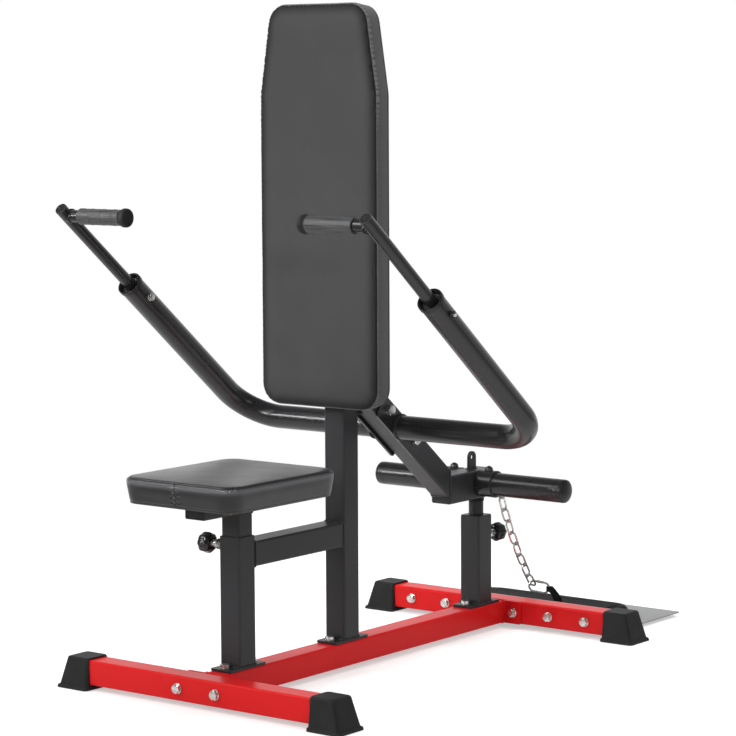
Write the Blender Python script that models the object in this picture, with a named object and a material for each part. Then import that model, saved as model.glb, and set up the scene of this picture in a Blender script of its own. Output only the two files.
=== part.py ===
"""Seated dip machine with a weight-loaded lever, a height-adjustable seat and a squat belt.

Metres, +Z up. The user sits facing -Y, so the back pad, the lever and the foot platform
follow one another towards +Y. The machine is laid out in stations measured from the front
face of the front crossbeam, and the world origin is on the floor under the middle of its
overall length and width.
"""

import math

import bmesh
import bpy
from mathutils import Matrix, Vector

# Shared stock
GAP = 0.0003                 # seating clearance between two pieces that touch
TUBE = 0.050                 # square frame tube, outer
WALL = 0.0025                # square frame tube wall
TUBE_EDGE = 0.004            # outer corner radius of the square tube
PLATE = 0.005                # welded flange and foot plates
ROUND_TUBE_R = 0.025         # yoke and weight sleeve tube, outer radius
ROUND_WALL = 0.0025
HOLE_PLAY = 0.0003           # radial play of every bolt in its hole

# Base
SOLE = 0.010                 # rubber under the crossbeams
CROSSBEAM_LENGTH = 0.660
REAR_BEAM_Y = 1.003          # front face of the rear crossbeam
FLANGE_WIDTH = 0.134
FLANGE_BOLT_X = 0.0475
CAP_GRIP = 0.050             # how far a cap reaches over its tube
CAP_END = 0.005              # rubber beyond the end of the tube, at the top
CAP_SIDE = 0.004             # rubber over the sides and top of the tube
CAP_FLARE = 0.008            # how much wider the foot of a cap is than its top
CAP_END_FLARE = 0.020        # how much further it reaches outwards at the foot
CAP_LIP = 0.003
CAP_LIP_HEIGHT = 0.006

# Uprights
SLEEVE_Y = 0.100             # front face of the seat sleeve
SLEEVE_TOP = 0.320
UPRIGHT_Y = 0.429            # front face of the back upright
UPRIGHT_TOP = 1.200
REST_SOCKET_Y = 0.9015       # front face of the rear post
REST_SOCKET_TOP = 0.258
FOOT_OVERHANG = 0.030        # foot plate beyond the post, each way
FOOT_BOLT_OFFSET = 0.015     # foot bolt axis from the face of the post
BRACE_TOP = 0.3074

# Foot platform
PLATFORM_CAP_PLAY = 0.010    # side of the platform from the end cap beside it
PLATFORM_REAR_Y = 1.333
PLATFORM_TOP = 0.010
PLATFORM_SHEET = 0.003
PLATFORM_UPSTAND = 0.052
PLATFORM_BOLT_INSETS = (0.039, 0.133)    # from the side of the platform
PLATFORM_RIB = 0.020
PLATFORM_RIB_INSET = 0.035

# Pads
BOARD = 0.012
PAD_THICKNESS = 0.050
PAD_WRAP = 0.007             # cover turned round the edge of the board
BACK_PAD_WIDTH = 0.295
BACK_PAD_TOP_WIDTH = 0.240
BACK_PAD_BOTTOM = 0.544
BACK_PAD_TAPER_Z = 1.169
BACK_PAD_TOP = 1.347
BACK_PAD_CORNER = 0.041
SEAT_WIDTH = 0.285
SEAT_FRONT_Y = -0.057
SEAT_LENGTH = 0.330
SEAT_BOTTOM = 0.3945
SEAT_CORNER = 0.038
PAD_BOLT_Z = (0.720, 1.080)

# Seat post
SEAT_POST_PLAY = 0.0005
SEAT_POST_BOTTOM = 0.100
SEAT_RAIL_HEIGHT = 0.028
SEAT_RAIL_FRONT_Y = 0.002
SEAT_RAIL_LENGTH = 0.235
PIN_HOLE_PITCH = 0.025
SEAT_PIN_Z = 0.299
SEAT_HOLES_BELOW = 4
SEAT_HOLES_ABOVE = 1

# Pull pins
PIN_R = 0.006
PIN_HOUSING_R = 0.011
PIN_HOUSING_LENGTH = 0.026
KNOB_R = 0.021
KNOB_LENGTH = 0.027
SEAT_KNOB_STANDOFF = 0.037   # near side of the knob from the face of the tube
REAR_KNOB_STANDOFF = 0.041
REST_PIN_Z = 0.209
REST_HOLE_PITCH = 0.020

# Lever
LEVER_ANGLE = math.radians(38.7)     # slope of the lever, down towards the rear
PIVOT_Y = 0.522
PIVOT_Z = 0.563
LEVER_HEAD = 0.027           # lever beyond the pivot
CARRIER_FRONT_Y = 0.797
CARRIER_LENGTH = 0.158
CARRIER_BOTTOM = 0.297
CARRIER_HEIGHT = 0.062
CARRIER_WALL = 0.004
LUG_INNER_X = 0.0268
LUG_THICKNESS = 0.006
LUG_R = 0.030
LUG_HEIGHT = 0.080
PIVOT_BOLT_R = 0.008
PIVOT_BUSH_R = 0.012
PIVOT_BOSS_R = 0.018
SLEEVE_AXIS_Y = 0.910
SLEEVE_AXIS_Z = 0.331
WEIGHT_SLEEVE_LENGTH = 0.476
COLLAR_R = 0.029
COLLAR_WIDTH = 0.041
SLEEVE_CAP_REACH = 0.018
SLEEVE_CAP_RIM = 0.003
SLEEVE_CAP_DOME = 0.008
TOP_EYE_WIDTH = 0.026
TOP_EYE_HEIGHT = 0.039
EYE_THICKNESS = 0.006
EYE_HOLE_R = 0.0055
CHAIN_EYE_REACH = 0.069
CHAIN_EYE_HEIGHT = 0.028

# Yoke and handles
YOKE_ALONG = 0.121           # crossbar axis from the pivot, along the lever
YOKE_PLATE_LENGTH = 0.168
YOKE_PLATE_WIDTH = 0.050
YOKE_PLATE = 0.006
YOKE_DROP = 0.006            # yokes below the middle of the lever, across it
YOKE_BOLT_SPACING = 0.112
YOKE_BOLT_R = 0.006
YOKE_HALF_SPAN = 0.379
YOKE_BEND_R = 0.092
ARM_ANGLE = math.radians(39.2)       # rise of the arms towards the front
ARM_LENGTH = 0.4715
BUSH_RIM_R = 0.0265
BUSH_RIM = 0.010
BUSH_DEPTH = 0.060
BUSH_PLAY = 0.0006
HANDLE_R = 0.0125
HANDLE_WALL = 0.002
HANDLE_REACH = 0.262         # handle tube beyond the mouth of the arm
HANDLE_INSERT = 0.110
GRIP_BAR_FROM_END = 0.024
GRIP_BAR_LENGTH = 0.1585
GRIP_R = 0.0162
GRIP_LENGTH = 0.1215
GRIP_FLANGE_R = 0.0187
GRIP_FLANGE = 0.010
CROSS_BOLT_FROM_MOUTH = 0.036
CROSS_BOLT_R = 0.004

# Rest post
REST_STEM_R = 0.016
REST_SLIDER_BOTTOM = 0.125
REST_SLIDER_TOP = 0.240
BUMPER_R = 0.0175
BUMPER = 0.009

# Chain, snap hook and belt
LINK_PITCH = 0.0310
LINK_WIRE_R = 0.0024
LINK_WIDTH = 0.0222
LINK_COUNT = 9               # odd, so that the last link lies as the first one does
LINK_BITE = 1.7              # distance between bearing wires, in wire radii
LINK_ROUND = 0.0013          # bend of a link's end within the thickness of the eye
CHAIN_FALL_TOP = math.radians(69.0)  # slope of the first link, down towards the rear
CHAIN_FALL_END = math.radians(52.5)  # slope of the last link
HOOK_WIDTH = 0.028
HOOK_WIRE_R = 0.0025
HOOK_PLAY = 0.0015           # between the hook and what it hangs in
HOOK_CATCH = math.radians(45.0)      # where the last link bears, up the near bend of the hook
HOOK_ROOM = 0.0115           # bearing point of the hook from the end wire of the last link
HOOK_LENGTH = 0.045
HOOK_TURN = math.radians(38.0)       # heading of the hook, from +X towards +Y
HOOK_FALL = math.radians(12.0)
BELT_CENTRE = (-0.005, 1.205)
BELT_LENGTH = 0.390
BELT_WIDTH = 0.130
BELT_THICKNESS = 0.018
BELT_CORNER = 0.045
LOOP_REACH = 0.030           # strap loop beyond the bar of the hook
LOOP_ABOVE = 0.007           # top of the strap loop above the bar's middle
LOOP_THICKNESS = 0.0125

# Sizes that follow
BEAM_TOP = SOLE + TUBE
FOOT_TOP = BEAM_TOP + GAP + PLATE
HALF = TUBE / 2
REAR_BEAM_BACK_Y = REAR_BEAM_Y + TUBE
PLATFORM_WIDTH = CROSSBEAM_LENGTH - 2 * (CAP_GRIP + PLATFORM_CAP_PLAY)
SEAT_REAR_Y = SEAT_FRONT_Y + SEAT_LENGTH
ORIGIN_Y = (SEAT_FRONT_Y + PLATFORM_REAR_Y) / 2
LEVER_DIR = Vector((0, math.cos(LEVER_ANGLE), -math.sin(LEVER_ANGLE)))
LEVER_UP = Vector((0, math.sin(LEVER_ANGLE), math.cos(LEVER_ANGLE)))
ARM_DIR = Vector((0, -math.cos(ARM_ANGLE), math.sin(ARM_ANGLE)))

PARTS = None
CUTTERS = None


def at(x, y, z):
    """A point given by its station, in the world frame."""
    return Vector((x, y - ORIGIN_Y, z))


PIVOT = at(0, PIVOT_Y, PIVOT_Z)
YOKE_CENTRE = PIVOT + LEVER_DIR * YOKE_ALONG
YOKE_AXIS = YOKE_CENTRE - LEVER_UP * YOKE_DROP
ARM_MOUTH = Vector((YOKE_HALF_SPAN, 0, 0)) + YOKE_AXIS + ARM_DIR * ARM_LENGTH


# Scene and materials

def start_scene():
    """Empty the scene and make the collections for the parts and for the cutters."""
    global PARTS, CUTTERS
    for obj in list(bpy.data.objects):
        bpy.data.objects.remove(obj, do_unlink=True)
    PARTS = bpy.data.collections.new("seated_dip_machine")
    CUTTERS = bpy.data.collections.new("cutters")
    for collection in (PARTS, CUTTERS):
        bpy.context.scene.collection.children.link(collection)


def material(name, colour, roughness, metallic=0.0):
    """A plain Principled material, made once for each name."""
    found = bpy.data.materials.get(name)
    if found:
        return found
    made = bpy.data.materials.new(name)
    made.use_nodes = True
    shader = made.node_tree.nodes["Principled BSDF"]
    shader.inputs["Base Color"].default_value = (*colour, 1.0)
    shader.inputs["Roughness"].default_value = roughness
    shader.inputs["Metallic"].default_value = metallic
    made.diffuse_color = (*colour, 1.0)
    return made


def black_coat():
    return material("black_powder_coat", (0.020, 0.020, 0.022), 0.45, 0.3)


def red_coat():
    return material("red_powder_coat", (0.72, 0.012, 0.018), 0.35, 0.2)


def zinc():
    return material("zinc_plated_steel", (0.62, 0.62, 0.60), 0.30, 1.0)


def black_plastic():
    return material("black_plastic", (0.012, 0.012, 0.012), 0.55)


def black_rubber():
    return material("black_rubber", (0.016, 0.016, 0.016), 0.75)


def vinyl():
    return material("black_vinyl", (0.024, 0.024, 0.026), 0.50)


def plywood():
    return material("plywood", (0.30, 0.20, 0.12), 0.80)


def webbing():
    return material("black_webbing", (0.014, 0.014, 0.015), 0.90)


def grey_coat():
    return material("grey_sheet", (0.28, 0.28, 0.28), 0.45, 0.4)


# Solids

def link_mesh(name, mesh, finish=None, location=(0, 0, 0), cutter=False):
    """Put a mesh in the scene, as a part or as a hidden cutter."""
    obj = bpy.data.objects.new(name, mesh)
    obj.location = location
    if cutter:
        CUTTERS.objects.link(obj)
        obj.hide_render = True
        obj.display_type = "WIRE"
    else:
        PARTS.objects.link(obj)
        mesh.materials.clear()
        mesh.materials.append(finish)
        mesh.shade_smooth()
        mesh.set_sharp_from_angle(angle=math.radians(35))
    return obj


def mesh_from(bm, name):
    """Turn a bmesh into a mesh whose faces point outwards."""
    bmesh.ops.recalc_face_normals(bm, faces=bm.faces)
    if bm.calc_volume(signed=True) < 0:
        bmesh.ops.reverse_faces(bm, faces=bm.faces)
    mesh = bpy.data.meshes.new(name)
    bm.to_mesh(mesh)
    bm.free()
    return mesh


def box_mesh(name, size, edge=0.0, along=None, centre=(0, 0, 0)):
    """A box; edge rounds all of its edges, or only those parallel to the axis along."""
    bm = bmesh.new()
    bmesh.ops.create_cube(bm, size=1.0)
    bmesh.ops.scale(bm, vec=size, verts=bm.verts)
    if edge > 0:
        picked = bm.edges[:]
        if along is not None:
            picked = [e for e in bm.edges
                      if abs((e.verts[1].co - e.verts[0].co).normalized()[along]) > 0.9]
        bmesh.ops.bevel(bm, geom=picked, offset=edge, segments=2, profile=0.5, affect="EDGES")
    bmesh.ops.translate(bm, vec=centre, verts=bm.verts)
    return mesh_from(bm, name)


def turn_to(axis):
    """Rotation that takes +Z to the given direction."""
    return Vector((0, 0, 1)).rotation_difference(Vector(axis).normalized()).to_matrix().to_4x4()


def rod_mesh(name, radius, length, axis=(0, 0, 1), sides=16, centre=(0, 0, 0), end_radius=None):
    """A cylinder or cone centred on centre, along axis."""
    bm = bmesh.new()
    tip = radius if end_radius is None else end_radius
    bmesh.ops.create_cone(bm, cap_ends=True, segments=sides, radius1=radius, radius2=tip,
                          depth=length)
    bm.transform(Matrix.Translation(centre) @ turn_to(axis))
    return mesh_from(bm, name)


def tongue_mesh(name, width, reach, thickness, direction):
    """A plate across X that runs along direction to a round end, whose centre is at reach."""
    along = Vector(direction).normalized()
    side = along.cross(Vector((1, 0, 0)))
    outline = [-along * 0.0005 + side * width / 2]
    for k in range(13):
        angle = math.radians(90) - math.radians(180) * k / 12
        spoke = along * math.cos(angle) + side * math.sin(angle)
        outline.append(along * reach + spoke * width / 2)
    outline.append(-along * 0.0005 - side * width / 2)
    rings = []
    for x in (-thickness / 2, thickness / 2):
        rings.append([Vector((x, p.y, p.z)) for p in outline])
    return loft_mesh(name, rings)


def loft_mesh(name, rings):
    """A closed solid through rings of equally many points, capped at both ends."""
    bm = bmesh.new()
    loops = [[bm.verts.new(p) for p in ring] for ring in rings]
    count = len(rings[0])
    for low, high in zip(loops, loops[1:]):
        for i in range(count):
            j = (i + 1) % count
            bm.faces.new((low[i], low[j], high[j], high[i]))
    bm.faces.new(list(reversed(loops[0])))
    bm.faces.new(loops[-1])
    return mesh_from(bm, name)


def rounded_outline(corners, inset, radius, steps=4):
    """A convex outline, moved inwards by inset, with each corner as an arc."""
    count = len(corners)
    points = [Vector(c) for c in corners]
    edges = []
    for i in range(count):
        along = (points[(i + 1) % count] - points[i]).normalized()
        normal = Vector((-along.y, along.x))
        edges.append((points[i] + normal * inset, along))
    outline = []
    for i in range(count):
        base_a, dir_a = edges[i - 1]
        base_b, dir_b = edges[i]
        cross = dir_a.x * dir_b.y - dir_a.y * dir_b.x
        offset = base_b - base_a
        t = (offset.x * dir_b.y - offset.y * dir_b.x) / cross
        corner = base_a + dir_a * t
        turn = math.atan2(cross, dir_a.dot(dir_b))
        tangent = radius * math.tan(turn / 2)
        start = corner - dir_a * tangent
        centre = start + Vector((-dir_a.y, dir_a.x)) * radius
        spoke = start - centre
        for k in range(steps + 1):
            angle = turn * k / steps
            c, s = math.cos(angle), math.sin(angle)
            outline.append(centre + Vector((spoke.x * c - spoke.y * s, spoke.x * s + spoke.y * c)))
    return outline


def tube_mesh(name, points, radius, resolution=4, cyclic=False):
    """A round bar along points, as a welded mesh."""
    curve = bpy.data.curves.new(name, "CURVE")
    curve.dimensions = "3D"
    curve.bevel_depth = radius
    curve.bevel_resolution = resolution
    curve.use_fill_caps = not cyclic
    spline = curve.splines.new("POLY")
    spline.points.add(len(points) - 1)
    for point, co in zip(spline.points, points):
        point.co = (*co, 1.0)
    spline.use_cyclic_u = cyclic
    holder = bpy.data.objects.new(name, curve)
    CUTTERS.objects.link(holder)
    bpy.context.view_layer.update()
    evaluated = holder.evaluated_get(bpy.context.evaluated_depsgraph_get())
    mesh = bpy.data.meshes.new_from_object(evaluated)
    bpy.data.objects.remove(holder, do_unlink=True)
    bpy.data.curves.remove(curve)
    bm = bmesh.new()
    bm.from_mesh(mesh)
    bmesh.ops.remove_doubles(bm, verts=bm.verts, dist=0.00001)
    bpy.data.meshes.remove(mesh)
    return mesh_from(bm, name)


def combine(target, tool_mesh, operation, location=None):
    """Add a Boolean modifier that joins a mesh to the target or cuts it away."""
    place = target.location if location is None else location
    tool = link_mesh(target.name + "_tool", tool_mesh, location=place, cutter=True)
    step = target.modifiers.new(operation.lower(), "BOOLEAN")
    step.operation = operation
    step.solver = "EXACT"
    step.object = tool
    return tool


def cut(target, tool_mesh, location=None):
    combine(target, tool_mesh, "DIFFERENCE", location)


def weld(target, tool_mesh, location=None):
    combine(target, tool_mesh, "UNION", location)


def square_tube(name, finish, axis, length, centre, outer=TUBE, wall=WALL):
    """A hollow square tube along one axis (0, 1 or 2), open at both ends."""
    size = [outer] * 3
    size[axis] = length
    obj = link_mesh(name, box_mesh(name, size, TUBE_EDGE, axis), finish, centre)
    bore = [outer - 2 * wall] * 3
    bore[axis] = length * 1.1
    cut(obj, box_mesh(name + "_bore", bore))
    return obj


def hole(target, centre, radius, length, axis, sides=12):
    """A round hole for a bolt or pin of the given radius."""
    mesh = rod_mesh(target.name + "_hole", radius + HOLE_PLAY, length, axis, sides)
    cut(target, mesh, centre)


def fastener(name, seat, axis, radius, grip, nut=True, tip=0.004):
    """A hex bolt: the head stands on seat, and the shank runs along axis through grip."""
    axis = Vector(axis)
    head = radius * 1.3
    washer = 0.0015
    flats = radius * 1.95
    nut_length = radius * 1.6
    end = grip + (nut_length + 2 * GAP if nut else 0) + tip
    shank_mesh = rod_mesh(name, radius, end + washer, axis, 8, axis * (end - washer) / 2)
    obj = link_mesh(name, shank_mesh, zinc(), Vector(seat) - axis * GAP)
    weld(obj, rod_mesh(name + "_washer", radius * 2.1, washer, axis, 12, -axis * washer / 2))
    weld(obj, rod_mesh(name + "_head", flats, head, axis, 6, -axis * (washer * 0.9 + head / 2)))
    if nut:
        weld(obj, rod_mesh(name + "_nut", flats, nut_length, axis, 6,
                           axis * (grip + 2 * GAP + nut_length / 2)))
    return obj


# Base frame

def crossbeam(name, front_y, bolt_xs):
    """A red crossbeam with its row of bolt holes."""
    centre = at(0, front_y + HALF, SOLE + HALF)
    beam = square_tube(name, red_coat(), 0, CROSSBEAM_LENGTH, centre)
    for x in bolt_xs:
        hole(beam, centre + Vector((x, 0, 0)), 0.005, TUBE * 1.2, (0, 1, 0), 12)
    return beam


def post_stations():
    """Front face of each post that stands on the main beam."""
    return (("seat", SLEEVE_Y), ("back", UPRIGHT_Y), ("rear", REST_SOCKET_Y))


def foot_bolt_stations(front_y):
    return (front_y - FOOT_BOLT_OFFSET, front_y + TUBE + FOOT_BOLT_OFFSET)


def main_beam():
    """The beam between the crossbeams, with a bolting flange welded to each end."""
    start = TUBE + GAP + PLATE
    end = REAR_BEAM_Y - GAP - PLATE
    centre = at(0, (start + end) / 2, SOLE + HALF)
    beam = square_tube("main_beam", red_coat(), 1, end - start, centre)
    for y in (start - PLATE / 2, end + PLATE / 2):
        flange = box_mesh("flange", (FLANGE_WIDTH, PLATE * 1.001, TUBE))
        weld(beam, flange, at(0, y, SOLE + HALF))
    for x in (-FLANGE_BOLT_X, FLANGE_BOLT_X):
        for y in (start, end):
            hole(beam, at(x, y, SOLE + HALF), 0.005, PLATE * 4, (0, 1, 0), 12)
    for _, front_y in post_stations():
        for y in foot_bolt_stations(front_y):
            hole(beam, at(0, y, BEAM_TOP), 0.005, WALL * 4, (0, 0, 1), 12)


def end_cap(name, side, front_y):
    """A rubber boot over one end of a crossbeam, flared to a foot with a lip."""
    tube_end = CROSSBEAM_LENGTH / 2
    inner = tube_end - CAP_GRIP
    top = BEAM_TOP + CAP_SIDE
    levels = (
        (0.0, 1.0, CAP_LIP),
        (CAP_LIP_HEIGHT, 1.0 - CAP_LIP_HEIGHT / top, CAP_LIP),
        (CAP_LIP_HEIGHT * 1.4, 1.0 - CAP_LIP_HEIGHT * 1.4 / top, 0.0),
        (top - 0.0025, 0.0025 / top, 0.0),
        (top, 0.0, -0.0025),
    )
    rings = []
    for z, flare, lip in levels:
        out = CAP_SIDE + CAP_FLARE * flare + lip
        near = inner - 0.002 * flare - max(lip, 0.0) * 0.5
        far = tube_end + CAP_END + CAP_END_FLARE * flare + lip
        corners = [(near, -out), (far, -out), (far, TUBE + out), (near, TUBE + out)]
        ring = rounded_outline(corners, 0.0, 0.003, 2)
        rings.append([(p.x * side, p.y, z) for p in ring])
    cap = link_mesh(name, loft_mesh(name, rings), black_rubber(), at(0, front_y, 0))
    pocket_length = CAP_GRIP + 0.010
    pocket = box_mesh(name + "_pocket", (pocket_length, TUBE + 2 * GAP, TUBE + 2 * GAP),
                      TUBE_EDGE, 0,
                      (side * (tube_end + GAP - pocket_length / 2), HALF, SOLE + HALF))
    cut(cap, pocket)


def platform_bolt_xs():
    """The bolts of the platform, from left to right."""
    half = PLATFORM_WIDTH / 2
    return sorted(side * (half - inset) for side in (-1, 1) for inset in PLATFORM_BOLT_INSETS)


def base_frame():
    crossbeam("front_crossbeam", 0.0, (-FLANGE_BOLT_X, FLANGE_BOLT_X))
    rear_bolts = platform_bolt_xs() + [-FLANGE_BOLT_X, FLANGE_BOLT_X]
    crossbeam("rear_crossbeam", REAR_BEAM_Y, rear_bolts)
    main_beam()
    for row, front_y in (("front", 0.0), ("rear", REAR_BEAM_Y)):
        for word, side in (("left", -1), ("right", 1)):
            end_cap(f"{row}_{word}_end_cap", side, front_y)
    flange_grip = TUBE + GAP + PLATE
    for word, x in (("left", -FLANGE_BOLT_X), ("right", FLANGE_BOLT_X)):
        fastener(f"front_flange_bolt_{word}", at(x, 0, SOLE + HALF), (0, 1, 0), 0.005,
                 flange_grip)
        fastener(f"rear_flange_bolt_{word}", at(x, REAR_BEAM_Y - GAP - PLATE, SOLE + HALF),
                 (0, 1, 0), 0.005, flange_grip + GAP + PLATFORM_SHEET)


def foot_platform():
    """The sheet that the user stands on, turned up behind the rear crossbeam."""
    front = REAR_BEAM_BACK_Y + GAP
    length = PLATFORM_REAR_Y - front
    base = PLATFORM_TOP - PLATFORM_SHEET
    sheet = box_mesh("foot_platform", (PLATFORM_WIDTH, length, PLATFORM_SHEET))
    platform = link_mesh("foot_platform", sheet, grey_coat(),
                         at(0, front + length / 2, PLATFORM_TOP - PLATFORM_SHEET / 2))
    upstand = box_mesh("upstand", (PLATFORM_WIDTH, PLATFORM_SHEET, PLATFORM_UPSTAND))
    weld(platform, upstand, at(0, front + PLATFORM_SHEET / 2, base + PLATFORM_UPSTAND / 2))
    outer_rib = PLATFORM_WIDTH / 2 - PLATFORM_RIB_INSET
    for x in (-outer_rib, 0.0, outer_rib):
        rib = box_mesh("rib", (PLATFORM_RIB, length - 2 * PLATFORM_RIB, base + 0.0005))
        weld(platform, rib, at(x, front + length / 2, (base + 0.0005) / 2))
    grip = TUBE + GAP + PLATFORM_SHEET
    for x in platform_bolt_xs() + [-FLANGE_BOLT_X, FLANGE_BOLT_X]:
        hole(platform, at(x, front, SOLE + HALF), 0.005, PLATFORM_SHEET * 4, (0, 1, 0), 12)
    for number, x in enumerate(platform_bolt_xs(), 1):
        fastener(f"platform_bolt_{number}", at(x, REAR_BEAM_Y, SOLE + HALF), (0, 1, 0), 0.005,
                 grip)


# Uprights

def post(name, front_y, top):
    """A square post welded to a foot plate as wide as the main beam."""
    bottom = FOOT_TOP
    centre = at(0, front_y + HALF, (bottom + top) / 2)
    obj = square_tube(name, black_coat(), 2, top - bottom, centre)
    length = TUBE + 2 * FOOT_OVERHANG
    foot = box_mesh("foot", (TUBE, length, PLATE * 1.001), 0.0)
    weld(obj, foot, at(0, front_y + HALF, FOOT_TOP - PLATE / 2))
    for y in foot_bolt_stations(front_y):
        hole(obj, at(0, y, FOOT_TOP), 0.005, PLATE * 4, (0, 0, 1), 12)
    return obj


def foot_bolts():
    for word, front_y in post_stations():
        for row, y in zip(("front", "rear"), foot_bolt_stations(front_y)):
            fastener(f"{word}_foot_bolt_{row}", at(0, y, FOOT_TOP), (0, 0, -1), 0.005,
                     PLATE + GAP + WALL, nut=False, tip=0.012)


def pivot_bracket(upright):
    """A U bracket on the back of the upright that carries the lever pivot."""
    back = UPRIGHT_Y + TUBE
    plate = box_mesh("bracket", (2 * (LUG_INNER_X + LUG_THICKNESS), PLATE * 1.001, LUG_HEIGHT))
    weld(upright, plate, at(0, back + PLATE / 2, PIVOT_Z))
    reach = PIVOT_Y - back
    for side in (-1, 1):
        x = side * (LUG_INNER_X + LUG_THICKNESS / 2)
        weld(upright, tongue_mesh("lug", 2 * LUG_R, reach, LUG_THICKNESS, (0, 1, 0)),
             at(x, back, PIVOT_Z))
    hole(upright, PIVOT, PIVOT_BOLT_R, 4 * LUG_INNER_X, (1, 0, 0))


def uprights():
    sleeve = post("seat_sleeve", SLEEVE_Y, SLEEVE_TOP)
    hole(sleeve, at(-HALF, SLEEVE_Y + HALF, SEAT_PIN_Z), PIN_R, WALL * 4, (1, 0, 0))
    brace_start = SLEEVE_Y + TUBE + GAP
    brace_end = UPRIGHT_Y - GAP
    square_tube("brace_tube", black_coat(), 1, brace_end - brace_start,
                at(0, (brace_start + brace_end) / 2, BRACE_TOP - HALF))
    upright = post("back_upright", UPRIGHT_Y, UPRIGHT_TOP)
    pivot_bracket(upright)
    for z in PAD_BOLT_Z:
        hole(upright, at(0, UPRIGHT_Y + HALF, z), 0.004, TUBE * 1.2, (0, 1, 0), 12)
    lid = box_mesh("lid", (TUBE - WALL, TUBE - WALL, WALL))
    weld(upright, lid, at(0, UPRIGHT_Y + HALF, UPRIGHT_TOP - WALL / 2))
    socket = post("rear_post", REST_SOCKET_Y, REST_SOCKET_TOP)
    lid = box_mesh("lid", (TUBE - WALL, TUBE - WALL, PLATE))
    weld(socket, lid, at(0, REST_SOCKET_Y + HALF, REST_SOCKET_TOP - PLATE / 2))
    hole(socket, at(0, REST_SOCKET_Y + HALF, REST_SOCKET_TOP), REST_STEM_R, PLATE * 4,
         (0, 0, 1), 24)
    hole(socket, at(0, REST_SOCKET_Y + TUBE, REST_PIN_Z), PIN_R, WALL * 4, (0, 1, 0))
    foot_bolts()


# Pull pins

def pull_pin(name, face, outward, standoff):
    """A threaded barrel on the face of a tube, and the pin with its knob."""
    outward = Vector(outward)
    barrel = rod_mesh(name + "_housing", PIN_HOUSING_R, PIN_HOUSING_LENGTH, outward, 16,
                      outward * PIN_HOUSING_LENGTH / 2)
    housing = link_mesh(name + "_housing", barrel, zinc(), face + outward * GAP)
    hole(housing, face, PIN_R, PIN_HOUSING_LENGTH * 4, outward)
    length = standoff + WALL + 0.004
    shank = rod_mesh(name, PIN_R, length, outward, 12, outward * (length / 2 - WALL))
    pin = link_mesh(name, shank, black_plastic(), face)
    knob_rings = []
    frame = turn_to(outward)
    side = 24
    for depth, radius in ((0.0, 0.78), (0.12, 0.97), (0.25, 1.0), (0.80, 1.0), (0.95, 0.93),
                          (1.0, 0.80)):
        ring = []
        for k in range(side):
            angle = 2 * math.pi * k / side
            flute = 1.0 - 0.05 * (k % 2)
            local = Vector((math.cos(angle), math.sin(angle), 0)) * KNOB_R * radius * flute
            local.z = standoff + KNOB_LENGTH * depth
            ring.append(frame @ local)
        knob_rings.append(ring)
    weld(pin, loft_mesh(name + "_knob", knob_rings))


# Pads

def cushion(name, corners, radius, to_world, board_inset):
    """A covered pad: flat underneath, drawn in at the sides and crowned on top.

    corners is its outline, to_world places (u, v, height), and the board lies in a pocket.
    """
    edge = PAD_THICKNESS
    levels = (
        (0.0, 0.002),
        (0.004, 0.0),
        (0.20 * edge, 0.0008),
        (0.45 * edge, 0.0022),
        (0.66 * edge, 0.0008),
        (0.72 * edge, 0.0),
        (0.84 * edge, 0.0022),
        (0.92 * edge, 0.0075),
        (0.965 * edge, 0.018),
        (1.0 * edge, 0.045),
    )
    rings = []
    for height, inset in levels:
        ring = rounded_outline(corners, inset, max(radius - inset, 0.004), 4)
        rings.append([to_world(p.x, p.y, height) for p in ring])
    pad = link_mesh(name, loft_mesh(name, rings), vinyl())
    pocket = []
    for height in (-0.005, BOARD + GAP):
        inset = board_inset - GAP
        ring = rounded_outline(corners, inset, radius - inset, 4)
        pocket.append([to_world(p.x, p.y, height) for p in ring])
    cut(pad, loft_mesh(name + "_pocket", pocket))
    return pad


def board(name, corners, radius, to_world, inset):
    """The plywood board that a cushion is upholstered on."""
    rings = []
    for height in (0.0, BOARD):
        ring = rounded_outline(corners, inset, radius - inset, 4)
        rings.append([to_world(p.x, p.y, height) for p in ring])
    return link_mesh(name, loft_mesh(name, rings), plywood())


def back_pad():
    low = BACK_PAD_WIDTH / 2
    high = BACK_PAD_TOP_WIDTH / 2
    corners = [(-low, BACK_PAD_BOTTOM), (low, BACK_PAD_BOTTOM), (low, BACK_PAD_TAPER_Z),
               (high, BACK_PAD_TOP), (-high, BACK_PAD_TOP), (-low, BACK_PAD_TAPER_Z)]

    def place(u, v, height):
        return at(u, UPRIGHT_Y - GAP - height, v)

    cushion("back_pad", corners, BACK_PAD_CORNER, place, PAD_WRAP)
    plate = board("back_board", corners, BACK_PAD_CORNER, place, PAD_WRAP)
    for word, z in zip(("lower", "upper"), PAD_BOLT_Z):
        hole(plate, at(0, UPRIGHT_Y, z), 0.004, 0.020, (0, 1, 0), 12)
        fastener(f"back_pad_bolt_{word}", at(0, UPRIGHT_Y + TUBE, z), (0, -1, 0), 0.004,
                 TUBE + GAP, nut=False, tip=0.008)


def seat_pad():
    half = SEAT_WIDTH / 2
    corners = [(-half, SEAT_FRONT_Y), (half, SEAT_FRONT_Y), (half, SEAT_REAR_Y),
               (-half, SEAT_REAR_Y)]

    def place(u, v, height):
        return at(u, v, SEAT_BOTTOM + height)

    cushion("seat_pad", corners, SEAT_CORNER, place, PAD_WRAP)
    board("seat_board", corners, SEAT_CORNER, place, PAD_WRAP)


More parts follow.
